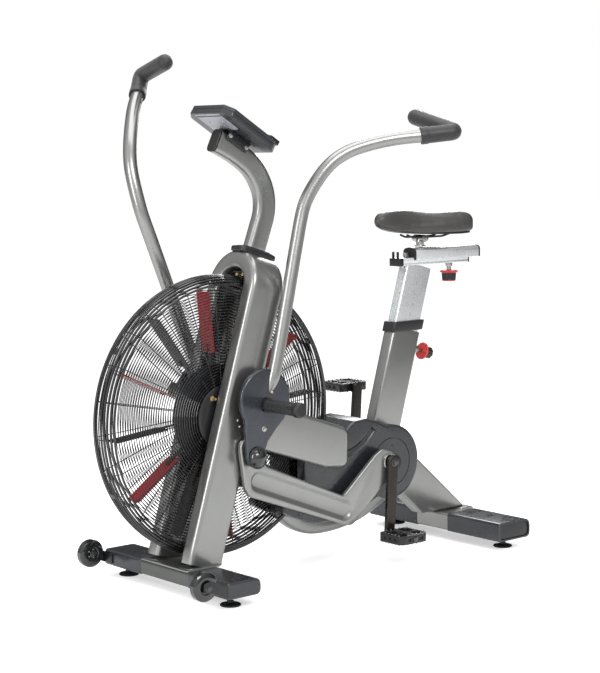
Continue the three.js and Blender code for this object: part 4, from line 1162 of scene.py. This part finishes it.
# ---- saddle ----
# Stations from the nose back: x, half width, lowest and highest point.
SADDLE = [(300, 6, 1099, 1112), (306, 14, 1093, 1124), (318, 22, 1086, 1133), (340, 29, 1079, 1139),
          (380, 36, 1071, 1142), (420, 44, 1066, 1142), (460, 55, 1063, 1140), (500, 72, 1061, 1138),
          (540, 90, 1060, 1138), (580, 103, 1060, 1140), (610, 109, 1060, 1142), (638, 111, 1061, 1142),
          (658, 105, 1062, 1140), (672, 91, 1066, 1135), (679, 74, 1074, 1126), (681, 50, 1082, 1116)]
SADDLE_VOXEL = 4.5
SADDLE_PINNED_BELOW = 1078
SADDLE_TRAVEL = 3
CLOTH_FRAMES = 20


def saddle_ring(x, half_width, low, high, sides=44):
    """Cross-section: flat underneath, full at the sides, slightly dished on top towards the rear."""
    dish = 7 * max(0, min(1, (x - 420) / 120))
    ring = []
    for i in range(sides):
        angle = 2 * math.pi * i / sides
        c, s = math.cos(angle), math.sin(angle)
        y = half_width * math.copysign(abs(c) ** 0.72, c)
        middle = low + (high - low) * 0.36
        if s >= 0:
            z = middle + (high - middle) * abs(s) ** 0.62
            z -= dish * (1 - (y / half_width) ** 2) ** 2 * min(1, s * 2)
        else:
            z = middle - (middle - low) * abs(s) ** 0.5
        ring.append((x, y, z))
    return ring


def inflate(obj, pinned_below, travel):
    """Cloth with a little air in it: fills the pad out between its edges, never further than travel."""
    before = [vertex.co.copy() for vertex in obj.data.vertices]
    pins = obj.vertex_groups.new(name="pins")
    pins.add([v.index for v in obj.data.vertices if v.co.z < pinned_below * MM], 1.0, "REPLACE")
    cloth = obj.modifiers.new("cloth", "CLOTH")
    cloth.settings.quality = 6
    cloth.settings.mass = 0.3
    cloth.settings.use_pressure = True
    cloth.settings.uniform_pressure_force = 4
    cloth.settings.tension_stiffness = cloth.settings.compression_stiffness = 15
    cloth.settings.bending_stiffness = 0.5
    cloth.settings.vertex_group_mass = "pins"
    cloth.settings.effector_weights.gravity = 0
    cloth.point_cache.frame_start, cloth.point_cache.frame_end = 1, CLOTH_FRAMES
    scene = bpy.context.scene
    for frame_number in range(1, CLOTH_FRAMES + 1):
        scene.frame_set(frame_number)
    moved = obj.evaluated_get(bpy.context.evaluated_depsgraph_get())
    after = [vertex.co.copy() for vertex in moved.data.vertices]
    obj.modifiers.clear()
    scene.frame_set(1)
    for vertex, start, end in zip(obj.data.vertices, before, after):
        step = end - start
        if step.length > travel * MM:
            step *= travel * MM / step.length
        vertex.co = start + step


def build_saddle():
    obj = raw_object("saddle_pad", loft([saddle_ring(*station) for station in SADDLE]))
    remesh = obj.modifiers.new("remesh", "REMESH")
    remesh.mode = "VOXEL"
    remesh.voxel_size = SADDLE_VOXEL * MM
    apply_modifiers(obj)
    relax = obj.modifiers.new("relax", "SMOOTH")
    relax.iterations = 6
    apply_modifiers(obj)
    inflate(obj, SADDLE_PINNED_BELOW, SADDLE_TRAVEL)
    fine = obj.modifiers.new("fine", "SUBSURF")
    fine.levels = fine.render_levels = 1
    apply_modifiers(obj)
    shade(obj, 60)
    obj.data.materials.append(FINISHES["saddle"])
    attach(obj, BODY_OF["saddle"])
    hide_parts("saddle")
    bends = [(430, 16, 1060), (455, 18, 1052), (490, 20, 1051), (560, 20, 1051), (590, 24, 1052),
             (618, 30, 1060)]
    rails = [tube(smooth_path([(x, side * y, z) for x, y, z in bends], 6), 3.6, 14) for side in (-1, 1)]
    piece("saddle_rails", joined(*rails), "black_paint", "saddle")
    pan = [(x, max(width - 16, 5), low - 1.5, low + 6) for x, width, low, _ in SADDLE[1:-1]]
    rings = [[(x, -w, z0 + 2), (x, w, z0 + 2), (x, w, z1), (x, -w, z1)] for x, w, z0, z1 in pan]
    piece("saddle_pan", loft(rings), "black_plastic", "saddle", edge=1)


# ---- console ----
CASE = {"half_length": 118, "half_width": 103, "thickness": 30, "corner": 26}
BUTTON_X = 70
BUTTONS_Y = (-44, 0, 44)


def on_console(shape):
    tilt = Matrix.Rotation(math.radians(CONSOLE_TILT), 4, "Y")
    return shape.moved(Matrix.Translation(CONSOLE) @ tilt)


def slab(x0, x1, y0, y1, corner, low, high):
    outline = rounded([(x0, y0, corner), (x1, y0, corner), (x1, y1, corner), (x0, y1, corner)], 3)
    return level_plate(outline, low, high)


def build_console():
    length, width, thick, c = CASE["half_length"], CASE["half_width"], CASE["thickness"], CASE["corner"]
    plan = [(-length + c, -width), (length - c, -width), (length, -width + c), (length, width - c),
            (length - c, width), (-length + c, width), (-length, width - c), (-length, -width + c)]

    def layer(inset, low, high):
        scale_x, scale_y = 1 - inset / length, 1 - inset / width
        return level_plate([(x * scale_x, y * scale_y) for x, y in plan], low, high)

    base = layer(0, -thick + 1, -13)
    lid = layer(0.8, -12, -0.5)
    seam = layer(2.4, -14, -11)
    piece("case_base", on_console(base), "case", "console_case", replaces="console_case", edge=2.5,
          segments=4)
    piece("case_lid", on_console(lid), "case", "console_case", edge=2.5, segments=4,
          cuts=[on_console(upright(BUTTON_X, y, 9.6, -5, 10, 0.2)) for y in BUTTONS_Y])
    piece("case_seam", on_console(seam), "black_plastic", "console_case")
    back = slab(-length + 20, -length + 96, -62, 62, 8, -thick - 1.5, -thick + 2)
    piece("case_back_plate", on_console(back), "label", "console_case", edge=1)
    slot_strip = slab(-length + 6, -length + 14, -62, 62, 3, -thick - 0.8, -thick + 2)
    piece("case_back_strip", on_console(slot_strip), "label", "console_case", edge=0.5)
    screws = [button_bolt(Vector((-length + 50, y, -thick - 1.5)), DOWN, 3.5, 2) for y in (-34, 34)]
    piece("case_screws", on_console(joined(*screws)), "steel", "console_case")
    clip = joined(slab(70, 122, -86, -54, 6, -0.6, 9), slab(84, 124, -82, -58, 4, 7, 15))
    window = slab(-99, 19, -75, 75, 6, -0.4, 2.2)
    piece("screen_window", on_console(window), "glass", "console_screen", replaces="console_screen", edge=0.8)
    piece("case_clip", on_console(clip), "black_plastic", "console_case", edge=2)
    profile = [(0, -1), (8.6, -1), (9, 0), (9, 2.6), (8, 3.8), (0, 4)]
    for number, y in enumerate(BUTTONS_Y, 1):
        node = f"console_button_{number}"
        cap = lathe(profile, (BUTTON_X, y, 0), UP, 40)
        piece(f"button_cap_{number}", on_console(cap), "black_plastic", node, replaces=node)
    bracket = slab(-32, 68, -28, 28, 5, -thick - 5, -thick - 0.5)
    cheeks = [slab(-26, 62, y - 3, y + 3, 1, -thick - 32, -thick - 3) for y in (-27, 27)]
    mast_room = sweep(smooth_path(MAST_PATH, 10), round_rect(43, 75, 18, 8))
    piece("bracket_plate", on_console(bracket), "black_paint", "console_bracket",
          replaces="console_bracket", edge=1.5, late_cuts=[mast_room])
    piece("bracket_cheeks", on_console(joined(*cheeks)), "black_paint", "console_bracket", edge=1,
          late_cuts=[mast_room])
    bolts = [hex_bolt(Vector((x, side * 30, -thick - 18)), (0, side, 0), 11, 6)
             for _, side in SIDES for x in (-18, 54)]
    piece("bracket_bolts", on_console(joined(*bolts)), "steel", "console_bracket")


# ---- build ----
# The front bar's middle takes the darker graphite: painted shade between the fork legs.
build_stabilizer("front_stabilizer", FRONT_BAR, 122, "graphite", False)
build_stabilizer("rear_stabilizer", REAR_BAR, 75, "silver", True)
build_feet()
build_wheels()
build_fork()
build_arch_bracket()
build_mast()
build_beams()
build_rear_frame()
build_cage()
build_fan()
build_drive()
build_housing()
build_cranks()
build_pedals()
build_levers()
build_handles()
build_pegs()
build_rods()
build_post()
build_rail()
build_slider()
build_clamp()
build_knobs()
build_saddle()
build_console()

# ---- floor, light and camera ----
FLOOR_COLOUR = (0.97, 0.97, 0.97)
FLOOR_LIFT = 0.48                                   # glow that keeps the lit floor white to the camera
scene = bpy.context.scene


def floor_material(name, colour, rough):
    material = bpy.data.materials.new(name)
    material.use_nodes = True
    shader = material.node_tree.nodes["Principled BSDF"]
    shader.inputs["Base Color"].default_value = (*colour, 1)
    shader.inputs["Roughness"].default_value = rough
    shader.inputs["Specular IOR Level"].default_value = 0.15
    seen = material.node_tree.nodes.new("ShaderNodeLightPath")
    lift = material.node_tree.nodes.new("ShaderNodeMath")
    lift.operation = "MULTIPLY"
    lift.inputs[1].default_value = FLOOR_LIFT
    material.node_tree.links.new(seen.outputs["Is Camera Ray"], lift.inputs[0])
    material.node_tree.links.new(lift.outputs["Value"], shader.inputs["Emission Strength"])
    shader.inputs["Emission Color"].default_value = (1, 1, 1, 1)
    return material


bpy.ops.mesh.primitive_plane_add(size=60, location=(0, 0, 0))
floor = bpy.context.object
floor.name = "floor"
floor.data.materials.append(floor_material("studio_floor", FLOOR_COLOUR, 0.75))

BRIGHT_SIDE = (-0.62, -0.42, 0.66)                  # the studio is brightest that way, seen by reflections
world = bpy.data.worlds.new("studio")
scene.world = world
world.use_nodes = True
nodes, links = world.node_tree.nodes, world.node_tree.links
background = nodes["Background"]
position = nodes.new("ShaderNodeTexCoord")
toward = nodes.new("ShaderNodeVectorMath")
toward.operation = "DOT_PRODUCT"
toward.inputs[1].default_value = Vector(BRIGHT_SIDE).normalized()
links.new(position.outputs["Generated"], toward.inputs[0])
halve = nodes.new("ShaderNodeMapRange")
halve.inputs["From Min"].default_value = -1
links.new(toward.outputs["Value"], halve.inputs["Value"])
sky = ramp(nodes, links, halve.outputs["Result"], [(0.30, 0.04), (0.92, 0.95)])
seen = nodes.new("ShaderNodeLightPath")
choose = nodes.new("ShaderNodeMix")
choose.data_type = "RGBA"
links.new(seen.outputs["Is Camera Ray"], choose.inputs["Factor"])
links.new(sky.outputs["Color"], choose.inputs["A"])
choose.inputs["B"].default_value = (1, 1, 1, 1)
links.new(choose.outputs["Result"], background.inputs["Color"])
background.inputs["Strength"].default_value = 1.0


def area_light(name, place, target, size, power):
    data = bpy.data.lights.new(name, "AREA")
    data.shape = "RECTANGLE"
    data.size, data.size_y = size
    data.energy = power
    light = bpy.data.objects.new(name, data)
    light.location = place
    light.visible_camera = False
    light.rotation_euler = (Vector(target) - Vector(place)).to_track_quat("-Z", "Y").to_euler()
    scene.collection.objects.link(light)


area_light("key", (-1.2, -3.4, 3.4), (0, 0, 0.7), (2.0, 1.4), 75)
area_light("front_fill", (-4.2, -0.6, 1.9), (0, 0, 0.8), (1.0, 2.6), 55)
area_light("rear_rim", (2.6, 2.2, 2.6), (0, 0, 0.8), (1.2, 1.8), 55)
area_light("top", (0.2, 0.2, 3.6), (0, 0, 0.6), (2.6, 2.6), 45)

CAMERA_PLACE = (-3.708, -4.387, 1.353)
CAMERA_HEADING, CAMERA_DROP, CAMERA_ROLL = -40.156, 6.002, -0.5505
LENS = 95.43
camera_data = bpy.data.cameras.new("camera")
camera = bpy.data.objects.new("camera", camera_data)
scene.collection.objects.link(camera)
camera.location = CAMERA_PLACE
heading = Matrix.Rotation(math.radians(CAMERA_HEADING), 4, "Z")
pitch = Matrix.Rotation(math.radians(90 - CAMERA_DROP), 4, "X")
roll = Matrix.Rotation(math.radians(CAMERA_ROLL), 4, "Z")
camera.rotation_euler = (heading @ pitch @ roll).to_euler()
camera_data.lens = LENS
camera_data.sensor_width = 36
camera_data.clip_end = 100
scene.camera = camera

scene.render.engine = "CYCLES"
scene.view_settings.view_transform = "Standard"
scene.view_settings.look = "None"
scene.cycles.max_bounces = 8
scene.cycles.filter_width = 1.5
